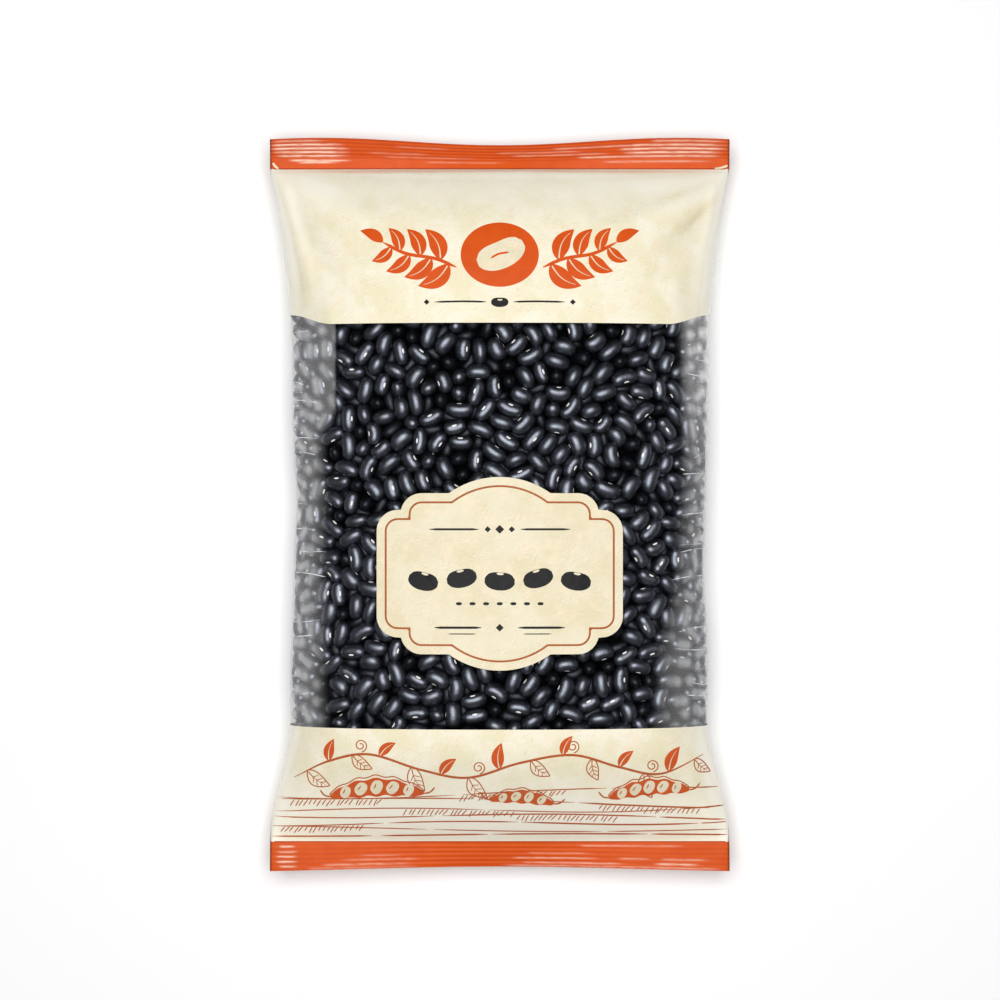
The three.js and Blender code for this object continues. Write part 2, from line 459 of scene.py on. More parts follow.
sealHighlights = {
    # Painted highlights on the ridges of the crimped seals: how far in from the seal's edge,
    # where each starts and ends across the bag, and how strong it is
    "top": [
        (1.1, -90, -66, 0.45), (2.56, -90, -60, 0.95), (4.02, -90, -58, 1.0), (5.48, -89, -58, 1.0),
        (6.94, -88, -58, 0.9), (8.7, -83, -57, 0.9), (9.4, -80, -62, 0.8), (2.56, -42, -18, 0.2),
        (5.48, -52, -26, 0.25), (6.94, -46, -8, 0.2), (8.9, -30, 4, 0.25), (1.1, 58, 90, 0.5),
        (2.56, 20, 58, 0.4), (2.56, 50, 90, 0.85), (4.02, -2, 34, 0.3), (4.02, 46, 90, 0.9),
        (5.48, 4, 44, 0.35), (5.48, 48, 88, 0.9), (6.94, 30, 88, 0.7), (9.0, 40, 84, 0.4),
    ],
    "bottom": [
        (1.6, -86.5, -79, 0.7), (3.55, -87.5, -79, 0.9), (5.5, -87.5, -79, 0.9), (7.45, -87.5, -79, 0.8),
        (9.5, -86.5, -80, 0.9), (0.7, -76, -30, 0.25), (2.0, -70, -34, 0.4), (3.9, -62, -30, 0.3),
        (5.6, -56, -36, 0.2), (0.7, 0, 88, 0.4), (2.0, 8, 50, 0.45), (2.2, 60, 80, 0.7),
        (4.1, 4, 40, 0.4), (4.2, 46, 60, 0.35), (4.1, 62, 84, 0.4), (6.3, 10, 38, 0.25),
        (9.6, 30, 74, 0.35),
    ],
    "width": 0.36,
    "strength": 0.88,
    "ends": 8, "mostFade": 0.4,     # length over which a mark fades, and its most share
}


def sealHighlightShare(x, y):
    half = bag["length"] / 2
    inward = half - np.abs(y)
    total = np.zeros(x.shape)
    for name, side in (("top", 1), ("bottom", -1)):
        for place, start, stop, strength in sealHighlights[name]:
            off = (inward - place) / sealHighlights["width"]
            fade = min(sealHighlights["ends"], (stop - start) * sealHighlights["mostFade"])
            along = smoothStep(start - 0.5, start + fade / 2, x)
            along = along * smoothStep(-stop - 0.5, -stop + fade, -x)
            total = np.maximum(total, strength * along * np.exp(-off ** 2) * (np.sign(y) == side))
    return total * sealHighlights["strength"]


def makeFilm(rows, grid, touch, materials):
    rowCount, ring = grid.shape[:2]
    faces = ringFaces(rowCount, ring)
    faceMaterials = np.repeat([bandKind(y) for y in (rows[1:] + rows[:-1]) / 2], ring).tolist()
    for row, flip in ((0, False), (rowCount - 1, True)):
        base = row * ring
        for j in range(ring // 2):
            corners = [base + j, base + (ring - j) % ring, base + (ring - j - 1) % ring, base + j + 1]
            corners = list(dict.fromkeys(corners))
            faces.append(tuple(reversed(corners)) if flip else tuple(corners))
            faceMaterials.append(0)
    piece = makeMesh("film", grid.reshape(-1, 3), faces, materials, faceMaterials)
    x, flatY = grid[..., 0], np.repeat(rows[:, None], ring, 1)
    # Painted highlights along the seals' ridges
    addNumbers(piece, "paintedSealHighlight", sealHighlightShare(x, flatY))
    # Painted shade in the seals' grooves
    paintedGrooveShade = np.clip(-ridgeHeight(rows) / crimps["top"]["depth"], 0, 1)
    addNumbers(piece, "paintedGrooveShade", np.repeat(paintedGrooveShade[:, None], ring, 1))
    fromSide = halfWidth(flatY, x) - np.abs(x)
    addNumbers(piece, "nearSide", np.exp(-(fromSide / film["creaseReach"]) ** 2))
    # Painted light: a painted highlight where this is above 0 and painted shade where it is below 0
    pale = softLines(paintedLight["lines"], paintedLight["fade"], x, flatY)
    addNumbers(piece, "paintedLight", pale + paintedLight["edge"] * np.exp(-fromSide / paintedLight["edgeReach"]))
    # Painted reflection: a white milky share near the window's sides
    addNumbers(piece, "milkAndGlare", glareShare(x, flatY))
    addNumbers(piece, "touch", touch)
    standForBag(piece)


# Badge outline

badge = {
    "y": -26.4,
    "boxes": [(47.2, 24.4), (38.0, 30.8)],      # half sizes of the wide box and the tall one
    "corner": 8.1,
    "disc": 33.5, "discOffset": 3.5,            # makes the bulge above and below
    "lineInset": 3.5, "lineWidth": 0.76,
    "lift": 0.12, "lineLift": 0.17,
    "turns": 360, "rings": 26,
}
badgeAngles = np.linspace(0, 2 * np.pi, badge["turns"], endpoint=False)


def roundedBoxDistance(x, y, halfX, halfY, corner):
    overX = np.maximum(np.abs(x) - halfX + corner, 0)
    overY = np.maximum(np.abs(y) - halfY + corner, 0)
    return np.hypot(overX, overY) - corner


def badgeDistance(x, y):
    local = y - badge["y"]
    parts = [roundedBoxDistance(x, local, *half, badge["corner"]) for half in badge["boxes"]]
    parts.append(np.hypot(x, np.abs(local) - badge["discOffset"]) - badge["disc"])
    return np.minimum.reduce(parts)


def badgeRadius(inset):
    # Halves a span for each angle until it meets the outline, drawn in by the inset
    low, high = np.zeros(badge["turns"]), np.full(badge["turns"], 80.0)
    for _ in range(40):
        middle = (low + high) / 2
        x, y = middle * np.cos(badgeAngles), badge["y"] + middle * np.sin(badgeAngles)
        inside = badgeDistance(x, y) + inset < 0
        low = np.where(inside, middle, low)
        high = np.where(inside, high, middle)
    return low


def ontoFilm(x, y, lift, side=1):
    return np.stack([x, y, surfaceHeight(x, y, side) + lift * side], -1)


# Thin plates that lie on the film

printed = {
    "thickness": 0.04,
    "lift": 0.07,           # of the first layer over the film
    "layer": 0.04,          # of each further layer over the one before
    "least": 0.06,          # least width of a stroke
    "taper": 6, "tip": 0.25,    # how soon a line is full, and its share of width at the ends
}


def plate(points, loop=False, filled=False):
    # A closed plate from rows of points. A loop closes on itself, a filled one has no hole
    rowCount, across = points.shape[:2]
    under = points - np.array([0, 0, printed["thickness"]])
    corners = np.concatenate([points.reshape(-1, 3), under.reshape(-1, 3)])
    below = rowCount * across
    last = (rowCount - 1) * across
    skins, walls = [], []
    for j in range(across if loop else across - 1):
        k = (j + 1) % across
        for i in range(rowCount - 1):
            quad = (i * across + j, (i + 1) * across + j, (i + 1) * across + k, i * across + k)
            skins.append(quad)
            skins.append(tuple(below + corner for corner in reversed(quad)))
        walls.append((last + j, last + below + j, last + below + k, last + k))
        if not filled:
            walls.append((k, below + k, below + j, j))
    if filled:
        middle = 2 * below
        corners = np.concatenate([corners, points[:1].mean(1), under[:1].mean(1)])
        for j in range(across):
            k = (j + 1) % across
            skins.append((middle, j, k))
            skins.append((middle + 1, below + k, below + j))
    if not loop:
        for i in range(rowCount - 1):
            near, far = i * across, (i + 1) * across
            walls.append((near, near + below, far + below, far))
            near, far = near + across - 1, far + across - 1
            walls.append((far, far + below, near + below, near))
    return corners, skins, walls


def makePlates(name, plates, materials, faceKind=None):
    # One mesh from many plates, smooth on their skins and flat on their walls
    points, skins, walls = [], [], []
    offset = 0
    for corners, plateSkins, plateWalls in plates:
        skins.extend(tuple(offset + corner for corner in face) for face in plateSkins)
        walls.extend(tuple(offset + corner for corner in face) for face in plateWalls)
        points.append(corners)
        offset += len(corners)
    points = np.concatenate(points)
    faces = skins + walls
    kinds = [faceKind(points[list(face)].mean(0)) for face in faces] if faceKind else None
    return standForBag(makeMesh(name, points, faces, materials, kinds, len(skins)))


def badgePlate(name, radii, lift, filled, material):
    # A plate from rows of radii around the badge's middle
    x = radii * np.cos(badgeAngles)
    y = badge["y"] + radii * np.sin(badgeAngles)
    return makePlates(name, [plate(ontoFilm(x, y, lift), True, filled)], [material])


def makeBadge(material):
    shares = np.linspace(0.02, 1, badge["rings"])[:, None]
    badgePlate("badge", shares * badgeRadius(0), badge["lift"], True, material)


def makeBadgeLine(material):
    half = badge["lineWidth"] / 2
    radii = [badgeRadius(badge["lineInset"] + half), badgeRadius(badge["lineInset"] - half)]
    badgePlate("badgeLine", np.stack(radii), badge["lineLift"], False, material)


# Printed shapes, each drawn as a stroke whose width changes along its path

def smoothPath(points, count):
    # A smooth curve through a few points
    points = np.asarray(points, float)
    padded = np.concatenate([[2 * points[0] - points[1]], points, [2 * points[-1] - points[-2]]])
    place = np.linspace(0, len(points) - 1, count)
    i = np.minimum(place.astype(int), len(points) - 2)
    t = (place - i)[:, None]
    a, b, c, d = padded[i], padded[i + 1], padded[i + 2], padded[i + 3]
    bent = (2 * a - 5 * b + 4 * c - d) * t ** 2 + (3 * b - a - 3 * c + d) * t ** 3
    return 0.5 * (2 * b + (c - a) * t + bent)


def stroke(path, widths, layer=0, across=1):
    path = np.asarray(path, float)
    way = unit(np.gradient(path, axis=0))
    left = np.stack([-way[:, 1], way[:, 0]], -1)
    widths = np.maximum(np.broadcast_to(widths, len(path)), printed["least"])
    offsets = np.linspace(-0.5, 0.5, across + 1)
    flat = path[:, None] + left[:, None] * (widths[:, None] * offsets)[..., None]
    lift = printed["lift"] + layer * printed["layer"]
    return plate(ontoFilm(flat[..., 0], flat[..., 1], lift))


def lineStroke(points, width, layer=0, count=24):
    share = np.linspace(0, 1, count)
    taper = np.minimum(1, printed["taper"] * np.minimum(share, 1 - share) + printed["tip"])
    return stroke(smoothPath(points, count), width * taper, layer)


def turned(points, angle, middle):
    angle = math.radians(angle)
    turn = np.array([[math.cos(angle), math.sin(angle)], [-math.sin(angle), math.cos(angle)]])
    return np.asarray(points, float) @ turn + np.asarray(middle, float)


def placed(points, y, way=1):
    # Points of a design moved up to its level, and mirrored to the left where the way is -1
    return [(way * across, y + up) for across, up in points]


leaf = {
    "swell": 0.8, "blunt": 0.9,         # powers that place the widest part and round the ends
    "vein": (0.06, 0.86),               # shares of the length where the vein starts and ends
    "sideVeins": (0.3, 0.48, 0.66), "forward": 0.14, "reach": 0.72, "sideWidth": 0.7,
}


def leafSpine(share, length, curl):
    return np.stack([share * length, curl * length * np.sin(share * np.pi)], -1)


def leafWidth(share, width):
    return width * np.sin(np.pi * share ** leaf["swell"]) ** leaf["blunt"]


def leafShape(base, angle, length, width, curl):
    share = np.linspace(0, 1, 18)
    spine = turned(leafSpine(share, length, curl), angle, base)
    return stroke(spine, leafWidth(share, width), 0, 4)


def leafVein(base, angle, length, width, layer, curl):
    share = np.linspace(*leaf["vein"], 14)
    spine = turned(leafSpine(share, length, curl), angle, base)
    return stroke(spine, width * (1.1 - share), layer)


def leafOutline(base, angle, length, width, lineWidth, curl):
    share = np.linspace(0, 1, 22)
    spine = leafSpine(share, length, curl)
    half = np.stack([0 * share, leafWidth(share, width) / 2], -1)
    strokes = [stroke(turned(spine + way * half, angle, base), lineWidth) for way in (1, -1)]
    strokes.append(leafVein(base, angle, length, lineWidth, 0, curl))
    for at in leaf["sideVeins"]:
        root = leafSpine(at, length, curl)
        reach = width / 2 * math.sin(math.pi * at ** leaf["swell"]) * leaf["reach"]
        for way in (1, -1):
            tip = root + np.array([leaf["forward"] * length, way * reach])
            vein = turned([root, (root + tip) / 2, tip], angle, base)
            strokes.append(stroke(vein, lineWidth * leaf["sideWidth"]))
    return strokes


def beanMark(middle, length, width, angle, bend, layer=0):
    share = np.linspace(-1, 1, 25)
    spine = np.stack([share * length / 2, bend * (share ** 2 - 0.4)], -1)
    widths = width * (1 - np.abs(share) ** 2.6) ** (1 / 2.2)
    return stroke(turned(spine, angle, middle), widths, layer, 6)


def diamondMark(middle, size, layer=0):
    share = np.array([-1, -0.5, 0, 0.5, 1])
    spine = np.stack([share * size / 2, 0 * share], -1)
    return stroke(spine + np.asarray(middle, float), size * (1 - np.abs(share)), layer, 2)


def discMark(y, radiusX, radiusY):
    angle = np.linspace(0, 2 * np.pi, 72, endpoint=False)
    shares = np.linspace(0.1, 1, 10)[:, None]
    x, y = shares * radiusX * np.cos(angle), y + shares * radiusY * np.sin(angle)
    return plate(ontoFilm(x, y, printed["lift"]), loop=True, filled=True)


# The print, a design of its own: beans, leaves and pods. Points of a design are given
# from its own level, and the right half is mirrored where it has a left one

sprig = {
    "y": 96,
    "disc": (15, 12.6),
    "seed": {"middle": (0.3, 96.6), "length": 19, "width": 10.6, "angle": 24, "bend": 2.1},
    "seedLine": [(-3.4, -1.4), (-0.4, 0.2), (3.6, 0.9)],
    "stem": [(16.5, -5), (25, -1.5), (36, 0.5), (45, 5)], "stemWidth": 1.3,
    "leaves": 7, "leafSize": (14.5, 7.2), "shrink": 0.06, "curl": 0.14, "vein": 0.5,
    "leans": (-36, 64),         # of the leaves below the stem and above it
    "tipAngle": 62, "tipSize": (10, 4.4), "tipCurl": 0.1,
    "rule": [(5.2, -18.4), (14, -18.2), (25, -18.4)], "ruleWidth": 0.7,
    "diamond": [(28, -18.4)], "diamondSize": 2.2,
    "smallBean": {"middle": (0, 77.6), "length": 6.6, "width": 3.6, "angle": 0, "bend": 0.5},
    "smallEye": {"middle": (0.1, 78.4), "length": 1.9, "width": 0.6, "angle": 0, "bend": 0.1},
}


def sprigStrokes():
    # An orange disc with a pale bean, between two leafy stems, over a short rule
    y = sprig["y"]
    orange = [discMark(y, *sprig["disc"]), lineStroke(placed(sprig["seedLine"], y), 0.8, 2)]
    cream = [beanMark(**sprig["seed"], layer=1)]
    black = []
    for way in (-1, 1):
        stem = placed(sprig["stem"], y, way)
        orange.append(lineStroke(stem, sprig["stemWidth"]))
        path = smoothPath(stem, sprig["leaves"] + 2)
        for i in range(sprig["leaves"]):
            angle = sprig["leans"][i % 2] if way > 0 else 180 - sprig["leans"][i % 2]
            length, width = np.array(sprig["leafSize"]) * (1 - sprig["shrink"] * i)
            curl = sprig["curl"] * (1 if i % 2 else -1) * way
            orange.append(leafShape(path[i + 1], angle, length, width, curl))
            cream.append(leafVein(path[i + 1], angle, length, sprig["vein"], 1, curl))
        tipAngle = 90 - way * sprig["tipAngle"]
        orange.append(leafShape(path[-1], tipAngle, *sprig["tipSize"], sprig["tipCurl"] * way))
        black.append(lineStroke(placed(sprig["rule"], y, way), sprig["ruleWidth"]))
        black.append(diamondMark(placed(sprig["diamond"], y, way)[0], sprig["diamondSize"]))
    black.append(beanMark(**sprig["smallBean"]))
    cream.append(beanMark(**sprig["smallEye"], layer=1))
    return {"orange": orange, "cream": cream, "black": black}


badgePrint = {
    "layer": 2,
    "rules": [([(8, 17), (17, 17), (27, 17)], 0.8),
              ([(7, -20.6), (16, -20.6), (25, -20.6)], 0.9),
              ([(9, -23), (14, -23), (20, -23)], 0.4)],
    "sideDiamond": [(4.6, 17)], "sideSize": 2.4,
    "diamonds": [((0, 17), 3.4), ((0, -20.6), 3.0)],
    "beans": [(-29.2, -2.5, -14), (-14.6, -1.4, 12), (0, -2.5, -4),
              (14.6, -1.4, 16), (29.2, -2.5, -10)],
    "beanSize": (11.4, 6.9), "beanBend": 1.1,
    "eye": (0, 2.5), "eyeSize": (2.7, 0.85), "eyeBend": 0.15,
    "dots": 7, "dotPitch": 5.2, "dotLevel": -11.4, "dotSize": (2.3, 1.2), "dotBend": 0.1,
}


def badgeStrokes():
    # A row of beans between rules, where such a badge has its words
    y, layer = badge["y"], badgePrint["layer"]
    black, cream = [], []
    for way in (-1, 1):
        for points, width in badgePrint["rules"]:
            black.append(lineStroke(placed(points, y, way), width, layer))
        diamond = placed(badgePrint["sideDiamond"], y, way)[0]
        black.append(diamondMark(diamond, badgePrint["sideSize"], layer))
    for (across, up), size in badgePrint["diamonds"]:
        black.append(diamondMark((across, y + up), size, layer))
    for across, up, angle in badgePrint["beans"]:
        middle = (across, y + up)
        black.append(beanMark(middle, *badgePrint["beanSize"], angle, badgePrint["beanBend"], layer))
        eye = turned([badgePrint["eye"]], angle, middle)[0]
        cream.append(beanMark(eye, *badgePrint["eyeSize"], angle, badgePrint["eyeBend"], layer + 1))
    for i in range(badgePrint["dots"]):
        across = (i - (badgePrint["dots"] - 1) / 2) * badgePrint["dotPitch"]
        dot = (across, y + badgePrint["dotLevel"])
        black.append(beanMark(dot, *badgePrint["dotSize"], 0, badgePrint["dotBend"], layer))
    return {"black": black, "cream": cream}


hem = {
    "width": 0.45, "end": 88.5, "points": 90,
    "cornerWidth": 0.9,
    "corners": [[(-88.9, 2.4), (-88.1, 1.2), (-86.6, -0.2)], [(84, 0.1), (87, 0.5), (89.4, 1.4)]],
}


def hemStrokes():
    # The seals' inner edges, and the film that shows at the top seal's folded corners
    places = np.linspace(-hem["end"], hem["end"], hem["points"])
    levels = [np.full(hem["points"], level) for level in (topLine, bottomLine)]
    edges = [stroke(np.stack([places, level], -1), hem["width"]) for level in levels]
    corners = [lineStroke(placed(line, topLine), hem["cornerWidth"], 1, 10) for line in hem["corners"]]
    return {"hem": edges, "cream": corners}


pod = {
    "steps": 60, "arch": 0.09,
    "body": 0.92, "rim": 0.09,          # shares of the pod's width
    "seedSize": 0.36, "seedSwell": 0.16, "seedStretch": 1.3, "seedLift": 0.02, "seedAngles": (62, 48),
    "scarPlace": 0.12, "scarLength": 0.5, "scarWidth": 0.45,
    "tail": [(-0.4, 0), (2.2, 0.5), (4.2, 2.4)],
    "stalk": [(0.4, 0), (-2.0, 0.8), (-3.6, 3.0)],
}


def podShapes(start, angle, length, width, seeds):
    # An open pod, filled, with its row of pale beans
    share = np.linspace(0, 1, pod["steps"])
    waves = 0.9 + 0.1 * np.cos(2 * np.pi * seeds * (share - 0.5))
    swell = np.sin(np.pi * share) ** 0.5 * waves
    arch = pod["arch"] * length * np.sin(np.pi * share)
    spine = turned(np.stack([share * length, arch], -1), angle, start)
    rim = np.stack([share * length, arch + width * (0.5 * swell + pod["rim"])], -1)
    tail = [(length + along, up) for along, up in pod["tail"]]
    body = [stroke(spine, width * pod["body"] * swell, 0, 6)]
    lines = [stroke(turned(rim, angle, start), vine["fine"])]
    lines += [lineStroke(turned(line, angle, start), vine["line"]) for line in (tail, pod["stalk"])]
    pale = []
    for i in range(seeds):
        at = (i + 1) / (seeds + 1)
        up = pod["arch"] * length * math.sin(math.pi * at) + pod["seedLift"] * width
        middle = turned([(at * length, up)], angle, start)[0]
        size = width * (pod["seedSize"] + pod["seedSwell"] * math.sin(math.pi * at))
        seedAngle = angle + pod["seedAngles"][i % 2]
        pale.append(beanMark(middle, size * pod["seedStretch"], size, seedAngle, 0.4, 1))
        scar = turned([(0, pod["scarPlace"] * size)], angle + pod["seedAngles"][0], middle)[0]
        scarLength = size * pod["scarLength"]
        lines.append(beanMark(scar, scarLength, pod["scarWidth"], seedAngle, 0.1, 2))
    return body, lines, pale


ground = [
    # Level, slope, height, pace and shift of each wavy line, and where it has hatching below
    (-111.6, 0.020, 1.3, 30, 0.4, [(-14, 26)]),
    (-115.4, -0.018, 1.5, 34, 1.9, [(-80, -44), (40, 78)]),
    (-118.6, 0.010, 1.2, 26, 3.1, [(-36, 6)]),
    (-121.4, -0.010, 1.4, 31, 0.9, [(8, 46)]),
    (-124.2, 0.006, 1.0, 24, 2.2, [(-84, -52)]),
    (-126.8, -0.004, 0.8, 36, 4.0, []),
    (-129.2, 0.002, 0.5, 33, 0.9, []),
]

hatching = {
    "margin": 0.8,                  # between a line's end and the side of the bag
    "stretch": (34, 84), "gap": (0.8, 4), "lineWidth": (0.42, 0.7), "points": 34,
    "step": 1.8, "width": 0.42, "below": 0.3,
    "across": (1.2, 2.4), "down": (1.9, 3.0), "jitter": 0.3,
}


def groundStrokes(rng):
    # Loose wavy lines, some with a row of short strokes below
    strokes = []
    for level, slope, height, pace, shift, hatched in ground:
        def lineLevel(x):
            return level + slope * x + height * np.sin(x / pace + shift)

        end = float(halfWidth(level)) - hatching["margin"]
        x = -end
        while x < end - 4:
            stop = min(x + rng.uniform(*hatching["stretch"]), end)
            places = np.linspace(x, stop, 14)
            path = np.stack([places, lineLevel(places)], -1)
            strokes.append(lineStroke(path, rng.uniform(*hatching["lineWidth"]), 0, hatching["points"]))
            x = stop + rng.uniform(*hatching["gap"])
        for start, stop in hatched:
            for x in np.arange(start, stop, hatching["step"]):
                x = x + rng.uniform(-hatching["jitter"], hatching["jitter"])
                y = float(lineLevel(x)) - hatching["below"]
                tip = (x - rng.uniform(*hatching["across"]), y - rng.uniform(*hatching["down"]))
                middle = ((x + tip[0]) / 2 - 0.1, (y + tip[1]) / 2)
                strokes.append(lineStroke([(x, y), middle, tip], hatching["width"], 0, 6))
    return strokes


vine = {
    "y": -101, "seed": 5,
    "line": 0.62, "fine": 0.44, "stemWidth": 0.95, "vein": 0.45,
    "stem": [(-80, -5), (-66, 2), (-50, 5), (-30, -1), (-12, -4),
             (8, 2), (28, 5), (46, 0), (62, -3), (79, 4)],
    "leafEvery": 3, "leafAngle": (44, 68), "leafLength": (8.2, 11.0),
    "filledWidth": 0.46, "openWidth": 0.5, "curl": 0.1,
    "tendrils": (9, 21, 30, 39), "tendrilRadius": 2.6, "tendrilUp": (0, 3.4),
    # Start, angle, length, width and beans of each pod
    "pods": [((-66, -113.5), 3, 37, 8.6, 5), ((-4, -114.2), -4, 25, 6.4, 4),
             ((42, -113.6), 5, 32, 7.8, 5)],
}


def tendril(base):
    share = np.linspace(0, 1, 26)
    radius = vine["tendrilRadius"] * (1 - 0.75 * share)
    turn = share * 3.1 * np.pi - 1.4
    spiral = np.stack([radius * np.cos(turn), radius * np.sin(turn)], -1)
    return stroke(base + np.array(vine["tendrilUp"]) + spiral, vine["fine"])


def vineStrokes():
    # A vine with leaves and tendrils over three pods and lines of ground
    rng = np.random.default_rng(vine["seed"])
    stem = placed(vine["stem"], vine["y"])
    path = smoothPath(stem, 46)
    way = np.degrees(np.arctan2(*np.gradient(path, axis=0).T[::-1]))
    lines, filled, pale = [lineStroke(stem, vine["stemWidth"], 0, 120)], [], []
    for i in range(2, len(path) - 1, vine["leafEvery"]):
        upward = 1 if (i // vine["leafEvery"]) % 2 else -1
        angle = way[i] + upward * rng.uniform(*vine["leafAngle"])
        length = rng.uniform(*vine["leafLength"])
        curl = vine["curl"] * upward
        if i % 2:
            filled.append(leafShape(path[i], angle, length, length * vine["filledWidth"], curl))
            pale.append(leafVein(path[i], angle, length, vine["vein"], 1, curl))
        else:
            width = length * vine["openWidth"]
            lines.extend(leafOutline(path[i], angle, length, width, vine["fine"], curl))
    lines.extend(tendril(path[i]) for i in vine["tendrils"])
    for onePod in vine["pods"]:
        podBody, podLines, podBeans = podShapes(*onePod)
        filled.extend(podBody)
        lines.extend(podLines)
        pale.extend(podBeans)
    lines.extend(groundStrokes(rng))
    return {"line": lines, "fill": filled, "cream": pale}


def makePrint(inks):
    designs = {
        "hem": hemStrokes(), "sprig": sprigStrokes(), "badge": badgeStrokes(), "vine": vineStrokes(),
    }
    for title, shapes in designs.items():
        for ink, plates in shapes.items():
            makePlates(title + ink.capitalize() + "Print", plates, [inks[ink]])


# Painted highlights on folds of the film, as pieces of their own

creases = {
    "each": 13, "seed": 4,              # as many on each side
    "from": 6, "to": -8, "spread": 7,   # over the window's lower edge, and under its upper one
    "width": 0.42, "unevenWidth": (0.6, 1.1),
    "least": 3, "most": 14, "rise": (-2.2, 1.2), "inset": 0.3,
}


def makePaintedCreaseGlints(material):
    # Painted highlights: short bright strokes on sharp folds that run in from the sides of the window
    rng = np.random.default_rng(creases["seed"])
    low, high = film["bottomBand"] + creases["from"], film["topBand"] + creases["to"]
    plates = []
    for side in (-1, 1):
        for level in np.linspace(low, high, creases["each"]):
            y = level + rng.uniform(-creases["spread"], creases["spread"])
            start = side * (float(halfWidth(y, side)) - creases["inset"])
            reach = side * rng.uniform(creases["least"], creases["most"])
            rise = rng.uniform(*creases["rise"])
            path = [(start, y), (start - reach * 0.5, y + rise * 0.25), (start - reach, y + rise)]
            width = creases["width"] * rng.uniform(*creases["unevenWidth"])
            plates.append(lineStroke(path, width, 0, 20))
    makePlates("paintedCreaseGlints", plates, [material])


seam = {
    "middle": 1.5, "width": 10, "columns": 8, "lift": 0.01,
    "edge": 1.6, "shade": 0.9,          # the fold at each side gets painted shade in the bands
    "milkAndGlare": 1.0,
}


def makeSeam(rows, materials):
    # The lengthwise seam on the back, folded flat against the film
    half = seam["width"] / 2
    offsets = np.linspace(half, -half, seam["columns"] + 1)
    x, y = np.meshgrid(offsets + seam["middle"], rows)
    flat = ontoFilm(x, y, seam["lift"], -1)
    flat[..., 1] += edgeDrawIn(x, y)
    piece = makePlates("backSeam", [plate(flat)], materials, lambda middle: bandKind(middle[1]))
    across = np.array([corner.co.x for corner in piece.data.vertices]) / mm - seam["middle"]
    fold = smoothStep(half - seam["edge"], half, np.abs(across))
    # Painted shade along the folded edges, and a stronger milky look on them in the window
    addNumbers(piece, "paintedLight", -seam["shade"] * fold)
    addNumbers(piece, "touch", fold)
    addNumbers(piece, "milkAndGlare", np.full(len(across), seam["milkAndGlare"]))


# Beans

beans = {
    "count": 1590,
    "length": 9.9,
    "width": 6.8,
    "depth": 6.0,
    "unevenLength": 0.13,
    "unevenWidth": 0.09,
    "shell": 10.2,          # thickness of the layer of modelled beans under the film
    "inLayer": 0.6,         # share of a ball's radius that stays inside that layer
    "lowY": -93,            # the beans fill the bag between these heights
    "highY": 79,
    "startRows": 24,        # rings of places where beans start
    "startRing": 200,       # places on each
    "startUnder": 3,        # least depth of a bean's middle under the film at the start
    "startOver": 1.5,       # and its least height over the underside of the layer
    "steps": 70,
    "pairSteps": 6,         # near pairs are found again after so many steps
    "pairMargin": 0.8,
    "pull": 0.16,           # outward move on each step, which presses them to the film
    "pulled": 0.75,         # share of the steps that have it
    "gap": 0.12,            # between the film and the beans
    "cover": 0.45,          # least depth of a bean's skin under the film
    "rise": 0.38,           # least height of a bean's skin over the table
    "upright": 0.1,         # how much a bean may stand on end at the start
    "settle": 0.6,          # share of a step's push that is taken
    "eyesShown": 0.62,      # share of the beans whose eye faces sideways or out
    "eyeTurn": (0.25, 1.45),    # how far such an eye is turned from straight out
    "bend": (0.05, 0.26),   # both as shares of the half width
    "dent": (0.08, 0.22),
    "squareness": 2.55,     # power of a bean's outline, 2 for an oval
    "dentReach": 0.42,      # share of the half length over which the dent at the eye fades
    "straight": 0.25,       # the bend is taken from this share of the length squared
    "outer": 4.9,           # beans this near the film are glossy, those further in get dimmed highlights as painted shade
    "shownAbove": 9,        # beans above this level face the front
    "seed": 11,
}


def depthUnderFilm(points):
    # Rough depth of points under the film, and the way out
    def scale(p):
        full = fullness(p[:, 1])
        power = sectionPower(p[:, 1])
        across = np.abs(p[:, 0]) / halfWidth(p[:, 1], p[:, 0])
        rise = p[:, 2] - bag["sealLevel"]
        reach = np.where(rise > 0, bag["crownRise"], bag["bellyDrop"]) * full + filmHalf(p[:, 1])
        return (across ** power + (np.abs(rise) / reach) ** power) ** (1 / power)

    here = scale(points)
    step = 0.2
    slope = np.stack([(scale(points + step * axis) - here) / step for axis in np.eye(3)], 1)
    steep = np.maximum(np.linalg.norm(slope, axis=1), 1e-6)
    return (1 - here) / steep, slope / steep[:, None]


def keepInside(points, radii):
    # Moves the beans' balls under the film, above the table and into the layer
    depth, outward = depthUnderFilm(points)
    over = np.maximum(radii + beans["gap"] - depth, 0)
    points = points - outward * over[:, None]
    deep = np.maximum(depth - (beans["shell"] - radii * beans["inLayer"]), 0)
    points = points + outward * deep[:, None]
    points[:, 2] = np.maximum(points[:, 2], radii + beans["gap"])
    points[:, 1] = np.clip(points[:, 1], beans["lowY"], beans["highY"])
    return points


def nearPairs(points, reach, perBean):
    # Pairs of balls of different beans that are less than the reach apart
    order = np.argsort(points[:, 1], kind="stable")
    sortedPoints = points[order]
    first, second = [], []
    block = 400
    for start in range(0, len(points), block):
        chunk = sortedPoints[start:start + block]
        high = np.searchsorted(sortedPoints[:, 1], chunk[-1, 1] + reach)
        others = sortedPoints[start:high]
        apart = ((chunk[:, None] - others[None]) ** 2).sum(2)
        i, j = np.nonzero(apart < reach * reach)
        keep = j > i
        first.append(order[start + i[keep]])
        second.append(order[start + j[keep]])
    first, second = np.concatenate(first), np.concatenate(second)
    keep = first // perBean != second // perBean
    return first[keep], second[keep]


